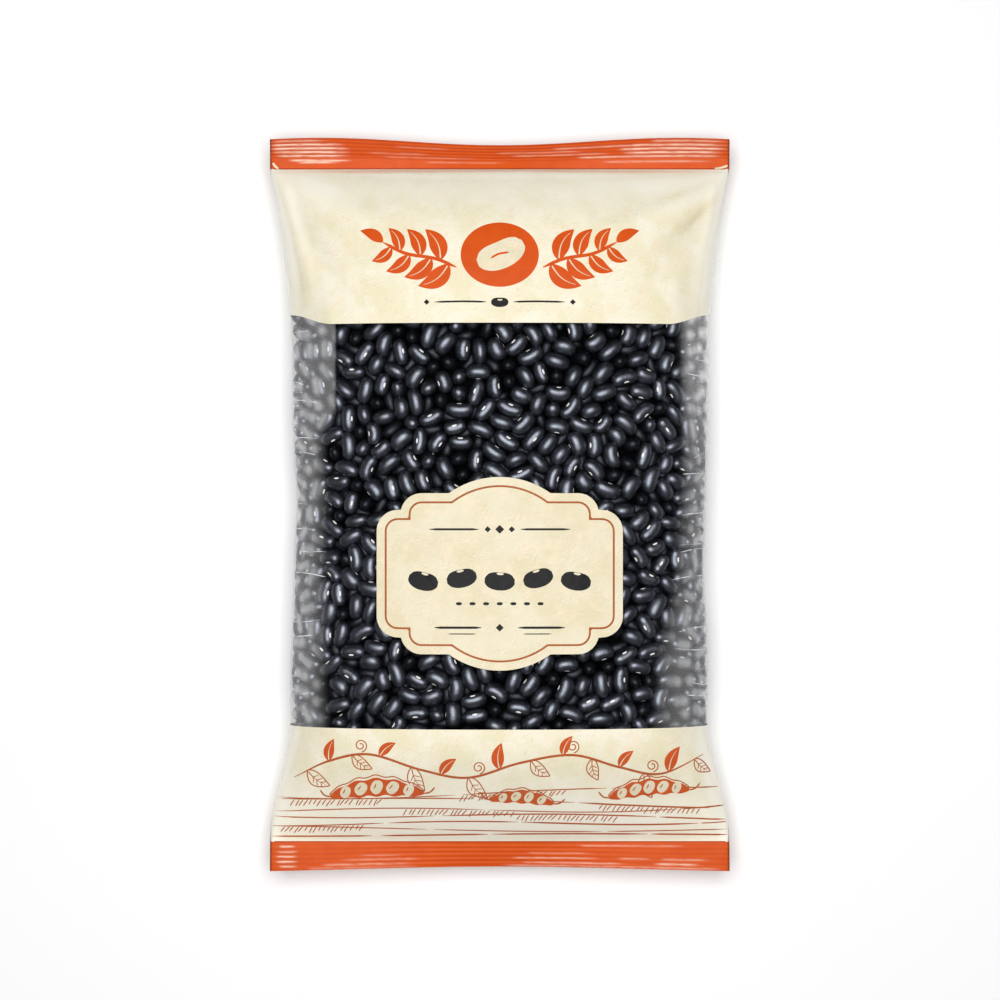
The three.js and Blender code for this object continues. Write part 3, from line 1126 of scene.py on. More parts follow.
def startingBeans(rng):
    # Scattered over the film's inside, each along the film
    count = beans["count"]
    y = rng.uniform(beans["lowY"], beans["highY"], count)
    place = rng.random(count)
    rowsAt = np.linspace(beans["lowY"], beans["highY"], beans["startRows"])
    rings = np.array([evenAngles(row, beans["startRing"]) for row in rowsAt])
    nearest = np.abs(rowsAt[:, None] - y).argmin(0)
    angle = rings[nearest, (place * rings.shape[1]).astype(int)]
    surface = filmPoints(angle, y)
    surface[:, 2] = np.maximum(surface[:, 2], 0.5)
    around = filmPoints(angle + 0.01, y) - filmPoints(angle - 0.01, y)
    along = filmPoints(angle, y + 0.5) - filmPoints(angle, y - 0.5)
    outward = unit(np.cross(along, around))
    depth = rng.uniform(beans["startUnder"], beans["shell"] - beans["startOver"], count)
    centre = surface - outward * depth[:, None]
    axis = unit(rng.normal(size=(count, 3)))
    standing = (axis * outward).sum(1, keepdims=True)
    axis = axis - outward * standing * (1 - beans["upright"])
    return centre, unit(axis)


def beanBalls(centre, axis, offsets):
    return (centre[:, None] + axis[:, None] * offsets[..., None]).reshape(-1, 3)


def pressApart(centre, axis, offsets, radii):
    # Each bean is three balls in a row, which push the balls of other beans away
    reach = 2 * radii.max() + beans["pairMargin"]
    for step in range(beans["steps"]):
        spheres = beanBalls(centre, axis, offsets)
        if step % beans["pairSteps"] == 0:
            first, second = nearPairs(spheres, reach, 3)
        if step < beans["steps"] * beans["pulled"]:
            spheres = spheres + depthUnderFilm(spheres)[1] * beans["pull"]
        apart = spheres[first] - spheres[second]
        distance = np.maximum(np.linalg.norm(apart, axis=1), 1e-6)
        overlap = np.maximum(radii[first] + radii[second] - distance, 0)
        push = apart / distance[:, None] * (overlap / 2)[:, None]
        move = np.zeros(spheres.shape)
        for c in range(3):
            move[:, c] += np.bincount(first, push[:, c], len(spheres))
            move[:, c] -= np.bincount(second, push[:, c], len(spheres))
        spheres = keepInside(spheres + move * beans["settle"], radii)
        rods = spheres.reshape(-1, 3, 3)
        centre = rods.mean(1)
        axis = unit(rods[:, 2] - rods[:, 0])
    return centre, axis


def packBeans():
    rng = np.random.default_rng(beans["seed"])
    centre, axis = startingBeans(rng)
    count = beans["count"]

    def uneven(size, share):
        return size * (1 + rng.uniform(-1, 1, count) * share)

    length = uneven(beans["length"], beans["unevenLength"])
    width = uneven(beans["width"], beans["unevenWidth"])
    depth = uneven(beans["depth"], beans["unevenWidth"])
    radius = (width + depth) / 4
    offsets = np.stack([-(length / 2 - radius), np.zeros(count), length / 2 - radius], 1)
    radii = np.repeat(radius, 3)
    centre, axis = pressApart(centre, axis, offsets, radii)
    spheres = beanBalls(centre, axis, offsets)
    # Most eyes face sideways or out to the film, some are turned away
    least, most = beans["eyeTurn"]
    seen = rng.random(count) < beans["eyesShown"]
    sideways = rng.choice([-1, 1], count) * rng.uniform(least, most, count)
    turn = np.where(seen, sideways, rng.uniform(most, 2 * np.pi - most, count))
    outward = depthUnderFilm(centre)[1]
    other = unit(np.cross(axis, outward))
    side = np.cross(other, axis)
    eyeSide = side * np.cos(turn)[:, None] + other * np.sin(turn)[:, None]
    bend = rng.uniform(*beans["bend"], count)
    dent = rng.uniform(*beans["dent"], count)
    tone = rng.random(count)
    return {
        "centre": centre, "axis": axis, "eyeSide": eyeSide, "flatSide": np.cross(axis, eyeSide),
        "length": length, "width": width, "depth": depth, "bend": bend, "dent": dent,
        "tone": tone, "under": depthUnderFilm(centre)[0], "spheres": spheres, "radii": radii,
    }


def beanShape(around, rings):
    # A unit bean as angle tables: share along, radius share, and the turn around
    polar = np.linspace(0, np.pi, rings + 1)[1:-1]
    power = beans["squareness"]
    plump = (np.abs(np.cos(polar)) ** power + np.sin(polar) ** power) ** (-1 / power)
    turn = np.linspace(0, 2 * np.pi, around, endpoint=False)
    along = np.concatenate([[1], np.repeat(np.cos(polar) * plump, around), [-1]])
    out = np.concatenate([[0], np.repeat(np.sin(polar) * plump, around), [0]])
    turns = np.concatenate([[0], np.tile(turn, len(polar)), [0]])
    faces = []
    for j in range(around):
        k = (j + 1) % around
        faces.append((0, 1 + j, 1 + k))
        for i in range(len(polar) - 1):
            a = 1 + i * around
            faces.append((a + j, a + around + j, a + around + k, a + k))
        a = 1 + (len(polar) - 1) * around
        faces.append((a + j, len(along) - 1, a + k))
    return along, out, turns, faces


def placeOnBeans(pack, which, along, sideways, flat):
    # Points given along each bean's own three directions
    return (pack["centre"][which][:, None]
            + pack["axis"][which][:, None] * along[..., None]
            + pack["eyeSide"][which][:, None] * sideways[..., None]
            + pack["flatSide"][which][:, None] * flat[..., None])


def drawBeansIn(pack):
    # How far each bean moves in from the film, so that no part of it comes through
    along, out, turns, _ = beanShape(12, 8)
    everyBean = np.arange(len(pack["centre"]))
    points = beanPoints(pack, everyBean, along, out, turns)
    depth = depthUnderFilm(points.reshape(-1, 3))[0]
    high = points[..., 2].reshape(-1) - beans["rise"] + beans["cover"]
    depth = np.minimum(depth, high).reshape(points.shape[:2])
    short = np.maximum(beans["cover"] - depth.min(1), 0)
    centreOut = depthUnderFilm(pack["centre"])[1]
    return -centreOut * short[:, None]


def dentAndBend(pack, which, along):
    # Both as shares of a bean's half width, at shares of its half length
    dent = pack["dent"][which][:, None] * np.exp(-(along / beans["dentReach"]) ** 2)
    bend = pack["bend"][which][:, None] * (along ** 2 - beans["straight"])
    return dent, bend


def beanPoints(pack, which, along, out, turns):
    halfLength = pack["length"][which][:, None] / 2
    halfWide = pack["width"][which][:, None] / 2
    halfDeep = pack["depth"][which][:, None] / 2
    dent, bend = dentAndBend(pack, which, along)
    dent = dent * np.clip(np.cos(turns), 0, 1) ** 2
    sideways = halfWide * (out * np.cos(turns) * (1 - dent) + bend)
    return placeOnBeans(pack, which, halfLength * along, sideways, halfDeep * out * np.sin(turns))


def makeBeans(name, pack, which, around, rings, material):
    # One piece from the beans whose numbers are given, each with its own size and shape
    along, out, turns, unitFaces = beanShape(around, rings)
    points = beanPoints(pack, which, along, out, turns)
    points = points + pack["drawIn"][which][:, None]
    size = len(along)
    faces = []
    for bean in range(len(which)):
        faces.extend(tuple(bean * size + corner for corner in face) for face in unitFaces)
    piece = makeMesh(name, points.reshape(-1, 3), faces, [material])
    addNumbers(piece, "beanTone", np.repeat(pack["tone"][which], size))
    standForBag(piece)


eyes = {"length": 2.1, "width": 0.78, "lift": 0.02, "proud": 0.12, "sides": 10}


def makeEyes(pack, which, material):
    # A small pale oval on each bean's skin, a little raised in its middle
    turn = np.linspace(0, 2 * np.pi, eyes["sides"], endpoint=False)
    ring = np.concatenate([[0], np.cos(turn)])
    wide = np.concatenate([[0], np.sin(turn)])
    along = np.tile(ring * eyes["length"] / 2, (len(which), 1))
    flat = np.tile(wide * eyes["width"] / 2, (len(which), 1))
    halfWide = pack["width"][which][:, None] / 2
    share = np.clip(2 * along / pack["length"][which][:, None], -1, 1)
    flatShare = np.clip(2 * flat / pack["depth"][which][:, None], -1, 1)
    power = beans["squareness"]
    skin = np.sqrt(1 - flatShare ** 2) * (1 - np.abs(share) ** power) ** (1 / power)
    dent, bend = dentAndBend(pack, which, share)
    centreLift = np.where(np.arange(len(ring)) == 0, eyes["proud"], 0.0)
    sideways = halfWide * (skin * (1 - dent) + bend) + eyes["lift"] + centreLift
    points = placeOnBeans(pack, which, along, sideways, flat) + pack["drawIn"][which][:, None]
    size = len(ring)
    faces = []
    for bean in range(len(which)):
        for j in range(eyes["sides"]):
            faces.append((bean * size, bean * size + 1 + j, bean * size + 1 + (j + 1) % eyes["sides"]))
    piece = makeMesh("beanEyes", points.reshape(-1, 3), faces, [material])
    standForBag(piece)


heart = {"lowY": -104, "highY": 92, "rows": 50, "columns": 40, "inset": 9.5, "lift": 2, "flat": 4}


def makeHeart(material):
    # The dark mass of beans below the modelled ones
    rows = []
    middleLevel = bag["sealLevel"] + heart["lift"]
    for y in np.linspace(heart["lowY"], heart["highY"], heart["rows"]):
        angles = evenAngles(y, heart["columns"])
        points = filmPoints(angles, np.full(angles.shape, y))
        middle = np.array([0, y, middleLevel])
        reach = np.array([halfWidth(y), bag["crownRise"] * fullness(y) + heart["flat"]])
        across, up = np.clip(1 - heart["inset"] / reach, 0.05, 1)
        rows.append(middle + (points - middle) * np.array([across, 1, up]))
    rowCount, ring = len(rows), len(rows[0])
    faces = ringFaces(rowCount, ring)
    faces.append(tuple(range(ring - 1, -1, -1)))
    faces.append(tuple((rowCount - 1) * ring + j for j in range(ring)))
    piece = makeMesh("beanHeart", np.concatenate(rows), faces, [material])
    standForBag(piece)


# Materials

def srgb(red, green, blue):
    # A colour given as it looks on a screen, from 0 to 255
    def linear(value):
        value = value / 255
        return value / 12.92 if value <= 0.04045 else ((value + 0.055) / 1.055) ** 2.4
    return (linear(red), linear(green), linear(blue), 1)


def newMaterial(name):
    material = bpy.data.materials.new(name)
    material.use_nodes = True
    material.node_tree.nodes.clear()
    return material, material.node_tree


def addNode(tree, kind, **values):
    node = tree.nodes.new(kind)
    for key, value in values.items():
        setattr(node, key, value)
    return node


def setInputs(node, **values):
    # An underscore in a name stands for the space in the socket's label
    for key, value in values.items():
        node.inputs[key.replace("_", " ")].default_value = value
    return node


def feed(tree, socket, value):
    # Sets a socket to a fixed value, or joins it to another node's output
    if isinstance(value, (int, float, tuple)):
        socket.default_value = value
    else:
        tree.links.new(value, socket)


def mathNode(tree, operation, first, second, clamp=False):
    node = addNode(tree, "ShaderNodeMath", operation=operation, use_clamp=clamp)
    feed(tree, node.inputs[0], first)
    feed(tree, node.inputs[1], second)
    return node.outputs[0]


def times(tree, first, second, clamp=False):
    return mathNode(tree, "MULTIPLY", first, second, clamp)


def between(tree, share, least, most):
    return mathNode(tree, "ADD", times(tree, share, most - least), least)


def mixColour(tree, factor, first, second):
    # Inputs 6 and 7 and output 2 are this node's colour sockets
    node = addNode(tree, "ShaderNodeMix", data_type="RGBA")
    for index, value in ((0, factor), (6, first), (7, second)):
        feed(tree, node.inputs[index], value)
    return node.outputs[2]


def objectPlace(tree):
    return addNode(tree, "ShaderNodeTexCoord").outputs["Object"]


def pointNumber(tree, name):
    # A number that the mesh gives for each of its points
    return addNode(tree, "ShaderNodeAttribute", attribute_name=name).outputs["Fac"]


def moved(tree, vector, **values):
    node = setInputs(addNode(tree, "ShaderNodeMapping"), **values)
    tree.links.new(vector, node.inputs["Vector"])
    return node.outputs["Vector"]


def noise(tree, vector, scale, detail=3.0, roughness=0.5, distortion=0.0):
    node = addNode(tree, "ShaderNodeTexNoise")
    setInputs(node, Detail=detail, Roughness=roughness, Distortion=distortion)
    feed(tree, node.inputs["Scale"], scale)
    tree.links.new(vector, node.inputs["Vector"])
    return node.outputs["Fac"]


def ramp(tree, value, low, high):
    node = addNode(tree, "ShaderNodeMapRange", clamp=True, interpolation_type="SMOOTHSTEP")
    setInputs(node, From_Min=low, From_Max=high)
    tree.links.new(value, node.inputs["Value"])
    return node.outputs["Result"]


def patchy(tree, vector, low, high, **look):
    # Soft patches: noise that counts as 0 up to the low value and as 1 from the high one
    return ramp(tree, noise(tree, vector, **look), low, high)


def bump(tree, height, strength, distance):
    node = setInputs(addNode(tree, "ShaderNodeBump"), Strength=strength, Distance=distance)
    tree.links.new(height, node.inputs["Height"])
    return node.outputs["Normal"]


def showShader(tree, shader):
    output = addNode(tree, "ShaderNodeOutputMaterial")
    tree.links.new(shader.outputs[0], output.inputs["Surface"])


def showThrough(tree, share, clearShader, shader):
    # A surface that is clear where the share is 0 and has the shader's look where it is 1
    mix = addNode(tree, "ShaderNodeMixShader")
    for socket, source in zip(mix.inputs, (share, clearShader.outputs[0], shader.outputs[0])):
        tree.links.new(source, socket)
    showShader(tree, mix)


def makeGroup(name, inputs, outputs):
    group = bpy.data.node_groups.new(name, "ShaderNodeTree")
    for label, default in inputs.items():
        kind = "NodeSocketColor" if isinstance(default, tuple) else "NodeSocketFloat"
        group.interface.new_socket(label, in_out="INPUT", socket_type=kind).default_value = default
    for label in outputs:
        kind = "NodeSocketColor" if label == "Color" else "NodeSocketFloat"
        group.interface.new_socket(label, in_out="OUTPUT", socket_type=kind)
    return group, group.nodes.new("NodeGroupInput").outputs, group.nodes.new("NodeGroupOutput").inputs


def useGroup(tree, group, **values):
    return setInputs(addNode(tree, "ShaderNodeGroup", node_tree=group), **values)


paperLook = {
    # The scale of a noise is in turns for each metre
    "clouds": {"scale": 75, "detail": 4, "roughness": 0.65, "distortion": 0.3, "low": 0.34, "high": 0.66},
    "patches": {"scale": 210, "detail": 4, "roughness": 0.7, "distortion": 0.3, "low": 0.46, "high": 0.7},
    "fibreShadingPatches": {"scale": 260, "detail": 3, "roughness": 0.6, "distortion": 0.5, "low": 0.4, "high": 0.68},
    "fibres": {"scale": 780, "detail": 5, "roughness": 0.72, "distortion": 1.1},
    "warm": srgb(249, 230, 200), "warmShare": 0.6,
    "fibreShift": (0.00022, -0.00034, 0), "fibreHeight": 0.11,
    # Painted light and painted shade for the two sides of each fibre
    "lit": srgb(255, 251, 236), "paintedShade": srgb(206, 186, 142),
    "specks": 130, "speckRim": 0.035, "speckCore": 0.015, "speckRare": 0.8,
    "speck": srgb(120, 105, 80),
}


def parchmentGroup():
    # Mottled cream ink with faint fibres, drawn as painted light and painted shade on their two sides,
    # and a few dark specks
    settings = {"Light": srgb(246, 239, 213), "Dark": srgb(234, 222, 185), "FibreShading": 0.3, "Specks": 0.6}
    tree, given, out = makeGroup("parchment", settings, ["Color", "Height"])
    where = objectPlace(tree)
    clouds = patchy(tree, where, **paperLook["clouds"])
    warm = patchy(tree, where, **paperLook["patches"])
    base = mixColour(tree, clouds, given["Dark"], given["Light"])
    base = mixColour(tree, times(tree, warm, paperLook["warmShare"]), base, paperLook["warm"])
    aside = moved(tree, where, Location=paperLook["fibreShift"])
    near, far = (noise(tree, place, **paperLook["fibres"]) for place in (where, aside))
    high = paperLook["fibreHeight"]
    relief = ramp(tree, mathNode(tree, "SUBTRACT", near, far), -high, high)
    amount = times(tree, patchy(tree, where, **paperLook["fibreShadingPatches"]), given["FibreShading"])
    # Painted light on one side of each fibre and painted shade on the other, stronger in patches
    base = mixColour(tree, times(tree, ramp(tree, relief, 0.5, 1.0), amount), base, paperLook["lit"])
    base = mixColour(tree, times(tree, ramp(tree, relief, 0.5, 0.0), amount), base, paperLook["paintedShade"])
    cells = setInputs(addNode(tree, "ShaderNodeTexVoronoi", feature="F1"), Scale=paperLook["specks"])
    tree.links.new(where, cells.inputs["Vector"])
    dot = ramp(tree, cells.outputs["Distance"], paperLook["speckRim"], paperLook["speckCore"])
    pick = addNode(tree, "ShaderNodeSeparateColor")
    tree.links.new(cells.outputs["Color"], pick.inputs[0])
    rare = mathNode(tree, "GREATER_THAN", pick.outputs[0], paperLook["speckRare"])
    speck = times(tree, times(tree, dot, rare), given["Specks"])
    tree.links.new(mixColour(tree, speck, base, paperLook["speck"]), out["Color"])
    tree.links.new(relief, out["Height"])
    return tree


filmLook = {
    "broad": {"detail": 2.0, "roughness": 0.45, "distortion": 0.8},
    "small": {"scale": 900, "detail": 2},
    "creaseStretch": (0.22, 1, 0.3),
    "creases": {"scale": 300, "detail": 1, "roughness": 0.4, "distortion": 0.5, "low": 0.62, "high": 0.8},
}


def wrinkleGroup():
    # The fine unevenness of plastic film
    tree, given, out = makeGroup("filmWrinkle", {"Size": 120.0, "Fine": 0.3}, ["Height"])
    where = objectPlace(tree)
    broad = noise(tree, where, given["Size"], **filmLook["broad"])
    small = times(tree, noise(tree, where, **filmLook["small"]), given["Fine"])
    tree.links.new(mathNode(tree, "ADD", broad, small), out["Height"])
    return tree


def creaseGroup():
    # Short creases that run in from the side edges of the film
    tree, given, out = makeGroup("filmCrease", {"Amount": 1.6}, ["Height"])
    drawnOut = moved(tree, objectPlace(tree), Scale=filmLook["creaseStretch"])
    lines = patchy(tree, drawnOut, **filmLook["creases"])
    height = times(tree, times(tree, lines, pointNumber(tree, "nearSide")), given["Amount"])
    tree.links.new(height, out["Height"])
    return tree


parchment = parchmentGroup()
wrinkle = wrinkleGroup()
crease = creaseGroup()

filmReach = 0.0012          # how deep the relief of printed film is, in metres

printFilm = {
    # The film over the ink shines where it leans away from the viewer
    "ior": 1.9, "roughness": 0.2, "clearTo": 0.065, "fullFrom": 0.16, "inkGloss": 0.12,
    # Of each kind of ink: size and fine share of the film's unevenness, relief and coat
    "cream": (90.0, 0.15, 0.2, 0.9),
    "seal": (110.0, 0.2, 0.25, 0.12),
    "solid": (110.0, 0.2, 0.2, 0.2),
}


def finishInk(tree, colour, roughness, kind):
    size, fine, relief, coat = printFilm[kind]
    shader = addNode(tree, "ShaderNodeBsdfPrincipled")
    setInputs(shader, Roughness=roughness, Specular_IOR_Level=printFilm["inkGloss"],
              Coat_Roughness=printFilm["roughness"], Coat_IOR=printFilm["ior"])
    tree.links.new(colour, shader.inputs["Base Color"])
    facing = addNode(tree, "ShaderNodeLayerWeight").outputs["Facing"]
    lean = ramp(tree, facing, printFilm["clearTo"], printFilm["fullFrom"])
    tree.links.new(times(tree, lean, coat), shader.inputs["Coat Weight"])
    film = useGroup(tree, wrinkle, Size=size, Fine=fine)
    tree.links.new(bump(tree, film.outputs["Height"], relief, filmReach), shader.inputs["Normal"])
    showShader(tree, shader)


# Colours of the painted highlight and of the painted shade on the cream bands
creamInk = {"pale": srgb(255, 250, 233), "paintedShade": srgb(204, 188, 148)}


def makeCreamInk(name, light, dark, roughness):
    # Cream ink on the mottled ground, with painted highlights and painted shade where the film's number
    # marks folds, slopes and side edges
    material, tree = newMaterial(name)
    colour = useGroup(tree, parchment, Light=light, Dark=dark).outputs["Color"]
    # Painted highlight where the film's number is above 0, painted shade where it is below 0
    fold = pointNumber(tree, "paintedLight")
    pale = mathNode(tree, "MAXIMUM", fold, 0.0, clamp=True)
    colour = mixColour(tree, pale, colour, creamInk["pale"])
    paintedShade = times(tree, mathNode(tree, "MINIMUM", fold, 0.0), -1.0, clamp=True)
    finishInk(tree, mixColour(tree, paintedShade, colour, creamInk["paintedShade"]), roughness, "cream")
    return material


orangeInk = {
    "ink": srgb(218, 86, 20), "deeper": srgb(213, 81, 18), "roughness": 0.45,
    # Colour and share of the painted shade in the seals' grooves
    "paintedGrooveShade": srgb(170, 60, 20), "grooveShadeShare": 0.75,
    # Colour of the painted highlights on the ridges, and the least share of their strands
    "paintedSealHighlight": srgb(255, 222, 198), "sealHighlightBase": 0.25,
    "clouds": {"scale": 160, "detail": 4, "low": 0.35, "high": 0.7},
    "highlightStrands": {"scale": 1500, "low": 0.25, "high": 0.6}, "strandStretch": (0.12, 1, 1),
}


def makeOrangeInk(name):
    # Orange ink with painted shade in the grooves of a seal and painted highlights along its ridges
    material, tree = newMaterial(name)
    where = objectPlace(tree)
    clouds = patchy(tree, where, **orangeInk["clouds"])
    colour = mixColour(tree, clouds, orangeInk["ink"], orangeInk["deeper"])
    # Painted shade in the grooves of the seals
    paintedGrooveShade = times(tree, pointNumber(tree, "paintedGrooveShade"), orangeInk["grooveShadeShare"])
    colour = mixColour(tree, paintedGrooveShade, colour, orangeInk["paintedGrooveShade"])
    # Painted highlights along the seal ridges, broken into strands
    drawnOut = moved(tree, where, Scale=orangeInk["strandStretch"])
    highlightStrands = patchy(tree, drawnOut, **orangeInk["highlightStrands"])
    highlightStrands = mathNode(tree, "ADD", highlightStrands, orangeInk["sealHighlightBase"])
    paintedSealHighlight = times(tree, pointNumber(tree, "paintedSealHighlight"), highlightStrands, clamp=True)
    colour = mixColour(tree, paintedSealHighlight, colour, orangeInk["paintedSealHighlight"])
    finishInk(tree, colour, orangeInk["roughness"], "seal")
    return material


solidInkClouds = {"scale": 420, "detail": 4, "low": 0.35, "high": 0.7}


def makeSolidInk(name, colour, deeper, roughness):
    material, tree = newMaterial(name)
    clouds = patchy(tree, objectPlace(tree), **solidInkClouds)
    finishInk(tree, mixColour(tree, clouds, colour, deeper), roughness, "solid")
    return material


clearFilm = {
    "roughness": 0.07, "ior": 1.5, "metallic": 0.15,
    "tint": (0.97, 0.97, 0.975, 1), "milkAndGlareColour": (0.95, 0.95, 0.96, 1),
    "milkAndGlareLeast": 0.16, "milkAndGlareMost": 0.52,        # share of the milky look, painted reflection at the window's sides, between beans and on them
    "leanFrom": 0.12, "leanTo": 0.4, "grazing": 0.12,
    "waves": 60.0, "relief": 0.3, "reach": 0.0008,
}


def makeClearFilm():
    # See-through film with a white milky layer, which is painted reflection at the window's sides and the
    # seam's own milkiness on the seam, and a shine that grows as it leans away
    material, tree = newMaterial("clearFilm")
    see = setInputs(addNode(tree, "ShaderNodeBsdfTransparent"), Color=clearFilm["tint"])
    gloss = addNode(tree, "ShaderNodeBsdfPrincipled")
    setInputs(gloss, Base_Color=clearFilm["milkAndGlareColour"], Metallic=clearFilm["metallic"],
              Roughness=clearFilm["roughness"])
    film = useGroup(tree, wrinkle, Size=clearFilm["waves"], Fine=0.0)
    height = mathNode(tree, "ADD", film.outputs["Height"], useGroup(tree, crease).outputs["Height"])
    normal = bump(tree, height, clearFilm["relief"], clearFilm["reach"])
    tree.links.new(normal, gloss.inputs["Normal"])
    fresnel = setInputs(addNode(tree, "ShaderNodeFresnel"), IOR=clearFilm["ior"])
    tree.links.new(normal, fresnel.inputs["Normal"])
    facing = addNode(tree, "ShaderNodeLayerWeight").outputs["Facing"]
    lean = ramp(tree, facing, clearFilm["leanFrom"], clearFilm["leanTo"])
    mirror = times(tree, fresnel.outputs[0], lean)
    mirror = mathNode(tree, "MINIMUM", mirror, clearFilm["grazing"])
    # Painted reflection where the film's numbers mark it, brightest over beans; along the seam the seam's
    # own milkiness
    spread = between(tree, pointNumber(tree, "touch"), clearFilm["milkAndGlareLeast"], clearFilm["milkAndGlareMost"])
    share = times(tree, spread, pointNumber(tree, "milkAndGlare"))
    share = mathNode(tree, "MAXIMUM", share, mirror, clamp=True)
    showThrough(tree, share, see, gloss)
    return material


creaseGlint = {
    "colour": srgb(244, 244, 247), "roughness": 0.3, "least": 0.12, "most": 0.95,
    "patches": {"scale": 180, "low": 0.4, "high": 0.62},
}


def makeCreaseGlint():
    # Painted highlight: the bright line on a sharp fold of the clear film, broken into patches
    material, tree = newMaterial("creaseGlint")
    see = addNode(tree, "ShaderNodeBsdfTransparent")
    shader = addNode(tree, "ShaderNodeBsdfPrincipled")
    setInputs(shader, Base_Color=creaseGlint["colour"], Roughness=creaseGlint["roughness"])
    patches = patchy(tree, objectPlace(tree), **creaseGlint["patches"])
    share = between(tree, patches, creaseGlint["least"], creaseGlint["most"])
    showThrough(tree, share, see, shader)
    return material


beanSkin = {
    "roughness": 0.375, "gloss": 1.0, "ior": 1.78, "tint": (0.8, 0.86, 1.0, 1),
    "light": srgb(6, 7, 10), "dark": srgb(0, 0, 1),
    "deepRoughness": 0.42, "deepGloss": 0.2,     # of the beans further in, dimmed as painted shade
    "patchTone": 0.45, "beanTone": 0.5,          # how much patches and single beans differ
    "patchRoughness": 0.08,
    "patches": {"scale": 700, "detail": 4, "roughness": 0.6, "low": 0.3, "high": 0.75},
    "grain": {"scale": 1500}, "grainStrength": 0.12, "grainReach": 0.0004,
}


def makeBeanSkin(name, roughness, gloss):
    material, tree = newMaterial(name)
    shader = addNode(tree, "ShaderNodeBsdfPrincipled")
    setInputs(shader, Specular_IOR_Level=gloss, IOR=beanSkin["ior"], Specular_Tint=beanSkin["tint"])
    where = objectPlace(tree)
    patches = patchy(tree, where, **beanSkin["patches"])
    own = times(tree, pointNumber(tree, "beanTone"), beanSkin["beanTone"])
    tone = mathNode(tree, "ADD", times(tree, patches, beanSkin["patchTone"]), own)
    colour = mixColour(tree, tone, beanSkin["dark"], beanSkin["light"])
    tree.links.new(colour, shader.inputs["Base Color"])
    rough = mathNode(tree, "ADD", times(tree, patches, beanSkin["patchRoughness"]), roughness)
    tree.links.new(rough, shader.inputs["Roughness"])
    grain = noise(tree, where, **beanSkin["grain"])
    normal = bump(tree, grain, beanSkin["grainStrength"], beanSkin["grainReach"])
    tree.links.new(normal, shader.inputs["Normal"])
    showShader(tree, shader)
    return material


def makePlain(name, dark, light, roughness, scale, gloss=0.5):
    # A finish with a soft change of tone, for pieces that show little
    material, tree = newMaterial(name)
    shader = addNode(tree, "ShaderNodeBsdfPrincipled")
    setInputs(shader, Roughness=roughness, Specular_IOR_Level=gloss)
    clouds = patchy(tree, objectPlace(tree), scale=scale, low=0.35, high=0.7)
    tree.links.new(mixColour(tree, clouds, dark, light), shader.inputs["Base Color"])
    showShader(tree, shader)
    return material


# Stage

lights = [
    # Softboxes, by direction seen from the bag: turn from +X, lean from straight up
    {"name": "overhead", "turn": 100, "lean": 4, "away": 1.3, "size": (0.88, 0.88), "radiance": 7.85},
    {"name": "leftBox", "turn": 180, "lean": 66, "away": 1.2, "size": (1.2, 0.92), "radiance": 0.13},
    {"name": "rightBox", "turn": 4, "lean": 62, "away": 1.2, "size": (1.2, 1.05), "radiance": 0.13},
    {"name": "nearBox", "turn": 270, "lean": 64, "away": 1.2, "size": (1.2, 0.8), "radiance": 0.24},
]


def makeLights():
    for item in lights:
        light = bpy.data.lights.new(item["name"], "AREA")
        light.shape = "RECTANGLE"
        light.size, light.size_y = item["size"]
        light.energy = item["radiance"] * math.pi * light.size * light.size_y
        lamp = bpy.data.objects.new(item["name"], light)
        turn, lean = math.radians(item["turn"]), math.radians(item["lean"])
        way = Vector((math.cos(turn) * math.sin(lean), math.sin(turn) * math.sin(lean), math.cos(lean)))
        lamp.location = way * item["away"]
        lamp.rotation_euler = (-way).to_track_quat("-Z", "Y").to_euler()
        bpy.context.scene.collection.objects.link(lamp)


worldStrength = 0.015


def makeWorld():
    world = bpy.data.worlds.new("studio")
    world.use_nodes = True
    back = world.node_tree.nodes["Background"]
    back.inputs["Color"].default_value = (1, 1, 1, 1)
    back.inputs["Strength"].default_value = worldStrength
    bpy.context.scene.world = world


floorPaper = {"half": 6000, "level": -0.05}


def makeFloor():
    material = makePlain("floorPaper", srgb(252, 252, 252), srgb(254, 254, 254), 0.6, 3)
    corners = np.array([(-1, -1), (1, -1), (1, 1), (-1, 1)]) * floorPaper["half"]
    points = [(x, y, floorPaper["level"]) for x, y in corners]
    floor = makeMesh("floor", points, [(0, 1, 2, 3)], [material])


def makeCamera():
    frameWidth = view["metresPerPixel"] * view["imageSize"]
    distance = frameWidth * view["lens"] / view["sensor"]
    camera = bpy.data.cameras.new("camera")
    camera.lens = view["lens"]
    camera.sensor_width = view["sensor"]
    eye = bpy.data.objects.new("camera", camera)
    eye.location = (view["centreX"], view["centreY"], bag["sealLevel"] * mm + distance)
    bpy.context.scene.collection.objects.link(eye)
    bpy.context.scene.camera = eye


makeCamera()
makeLights()
makeWorld()
makeFloor()
bpy.context.scene.view_settings.view_transform = "Standard"
print("stage is set")

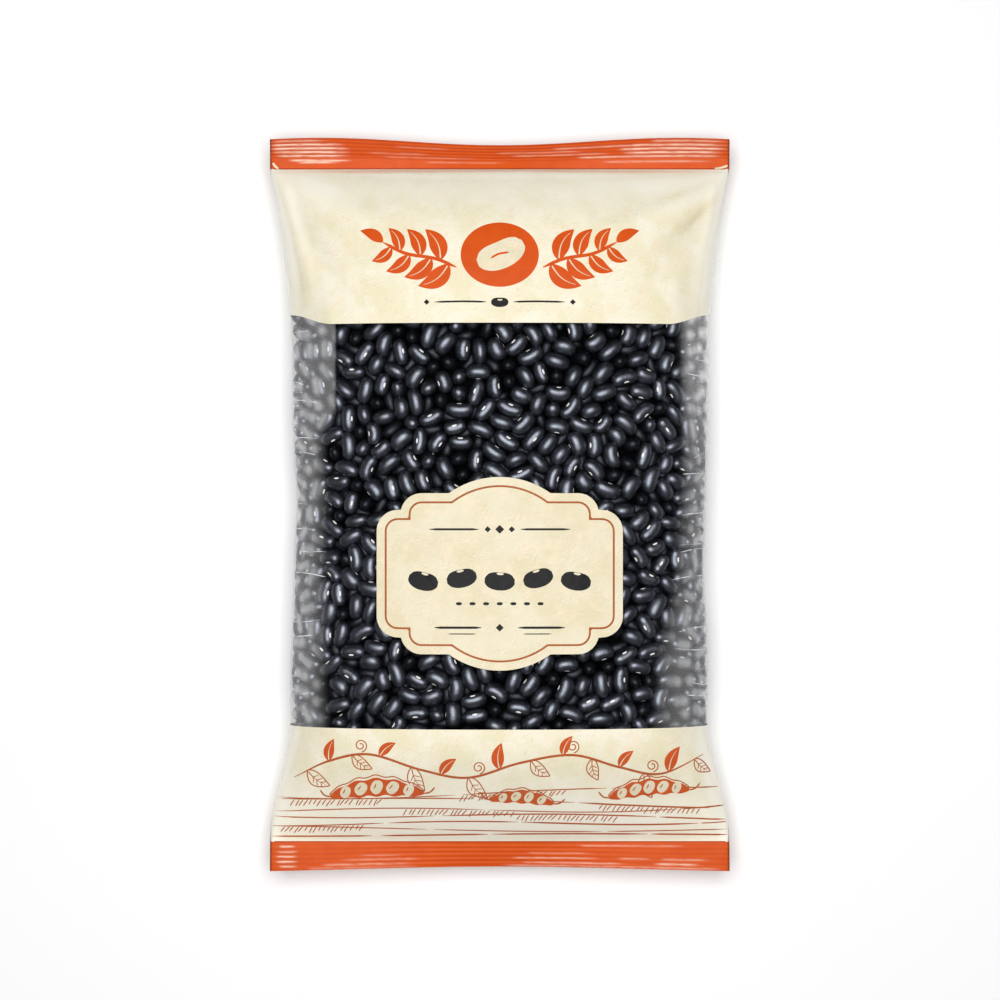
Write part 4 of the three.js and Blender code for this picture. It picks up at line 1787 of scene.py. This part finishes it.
orange = makeOrangeInk("orangeInk")
cream = makeCreamInk("creamInk", srgb(248, 241, 220), srgb(238, 229, 194), 0.5)
badgeCream = makeCreamInk("badgeInk", srgb(236, 227, 200), srgb(229, 217, 182), 0.55)
clear = makeClearFilm()
line = makeSolidInk("lineInk", srgb(186, 100, 56), srgb(172, 90, 48), 0.5)
badgeLineInk = makeSolidInk("badgeLineInk", srgb(176, 98, 50), srgb(162, 88, 44), 0.5)
fill = makeSolidInk("fillInk", srgb(208, 92, 42), srgb(200, 84, 38), 0.5)
hemInk = makeSolidInk("hemInk", srgb(188, 70, 26), srgb(176, 62, 22), 0.5)
black = makeSolidInk("blackInk", srgb(26, 24, 24), srgb(16, 15, 15), 0.45)
skin = makeBeanSkin("beanSkin", beanSkin["roughness"], beanSkin["gloss"])
deepSkin = makeBeanSkin("deepBeanSkin", beanSkin["deepRoughness"], beanSkin["deepGloss"])
eyeSkin = makePlain("eyeSkin", srgb(251, 247, 236), srgb(255, 254, 249), 0.5, 900)
shade = makePlain("beanShade", srgb(3, 3, 4), srgb(6, 6, 7), 0.9, 200, 0.05)
print("materials are mixed")

pack = packBeans()
pack["drawIn"] = drawBeansIn(pack)
print("beans are packed:", len(pack["centre"]))
outer = np.minimum(pack["under"], pack["centre"][:, 2]) < beans["outer"]
shown = pack["centre"][:, 2] > beans["shownAbove"]
makeBeans("beansFront", pack, np.nonzero(outer & shown)[0], 12, 10, skin)
makeBeans("beansUnder", pack, np.nonzero(outer & ~shown)[0], 12, 8, skin)
makeBeans("beansBehind", pack, np.nonzero(~outer)[0], 8, 6, deepSkin)
makeEyes(pack, np.nonzero(outer)[0], eyeSkin)
makeHeart(shade)
print("beans are made:", int((outer & shown).sum()), int((outer & ~shown).sum()), int((~outer).sum()))

rows, grid = filmGrid()
grid, touch = sinkBetweenBeans(rows, grid, pack["spheres"], pack["radii"])
makeFilm(rows, grid, touch, [orange, cream, clear])
makeSeam(rows, [orange, cream, clear])
makePaintedCreaseGlints(makeCreaseGlint())
makeBadge(badgeCream)
makeBadgeLine(badgeLineInk)
makePrint({
    "orange": orange, "line": line, "fill": fill, "black": black, "cream": badgeCream, "hem": hemInk,
})
print("film is made")
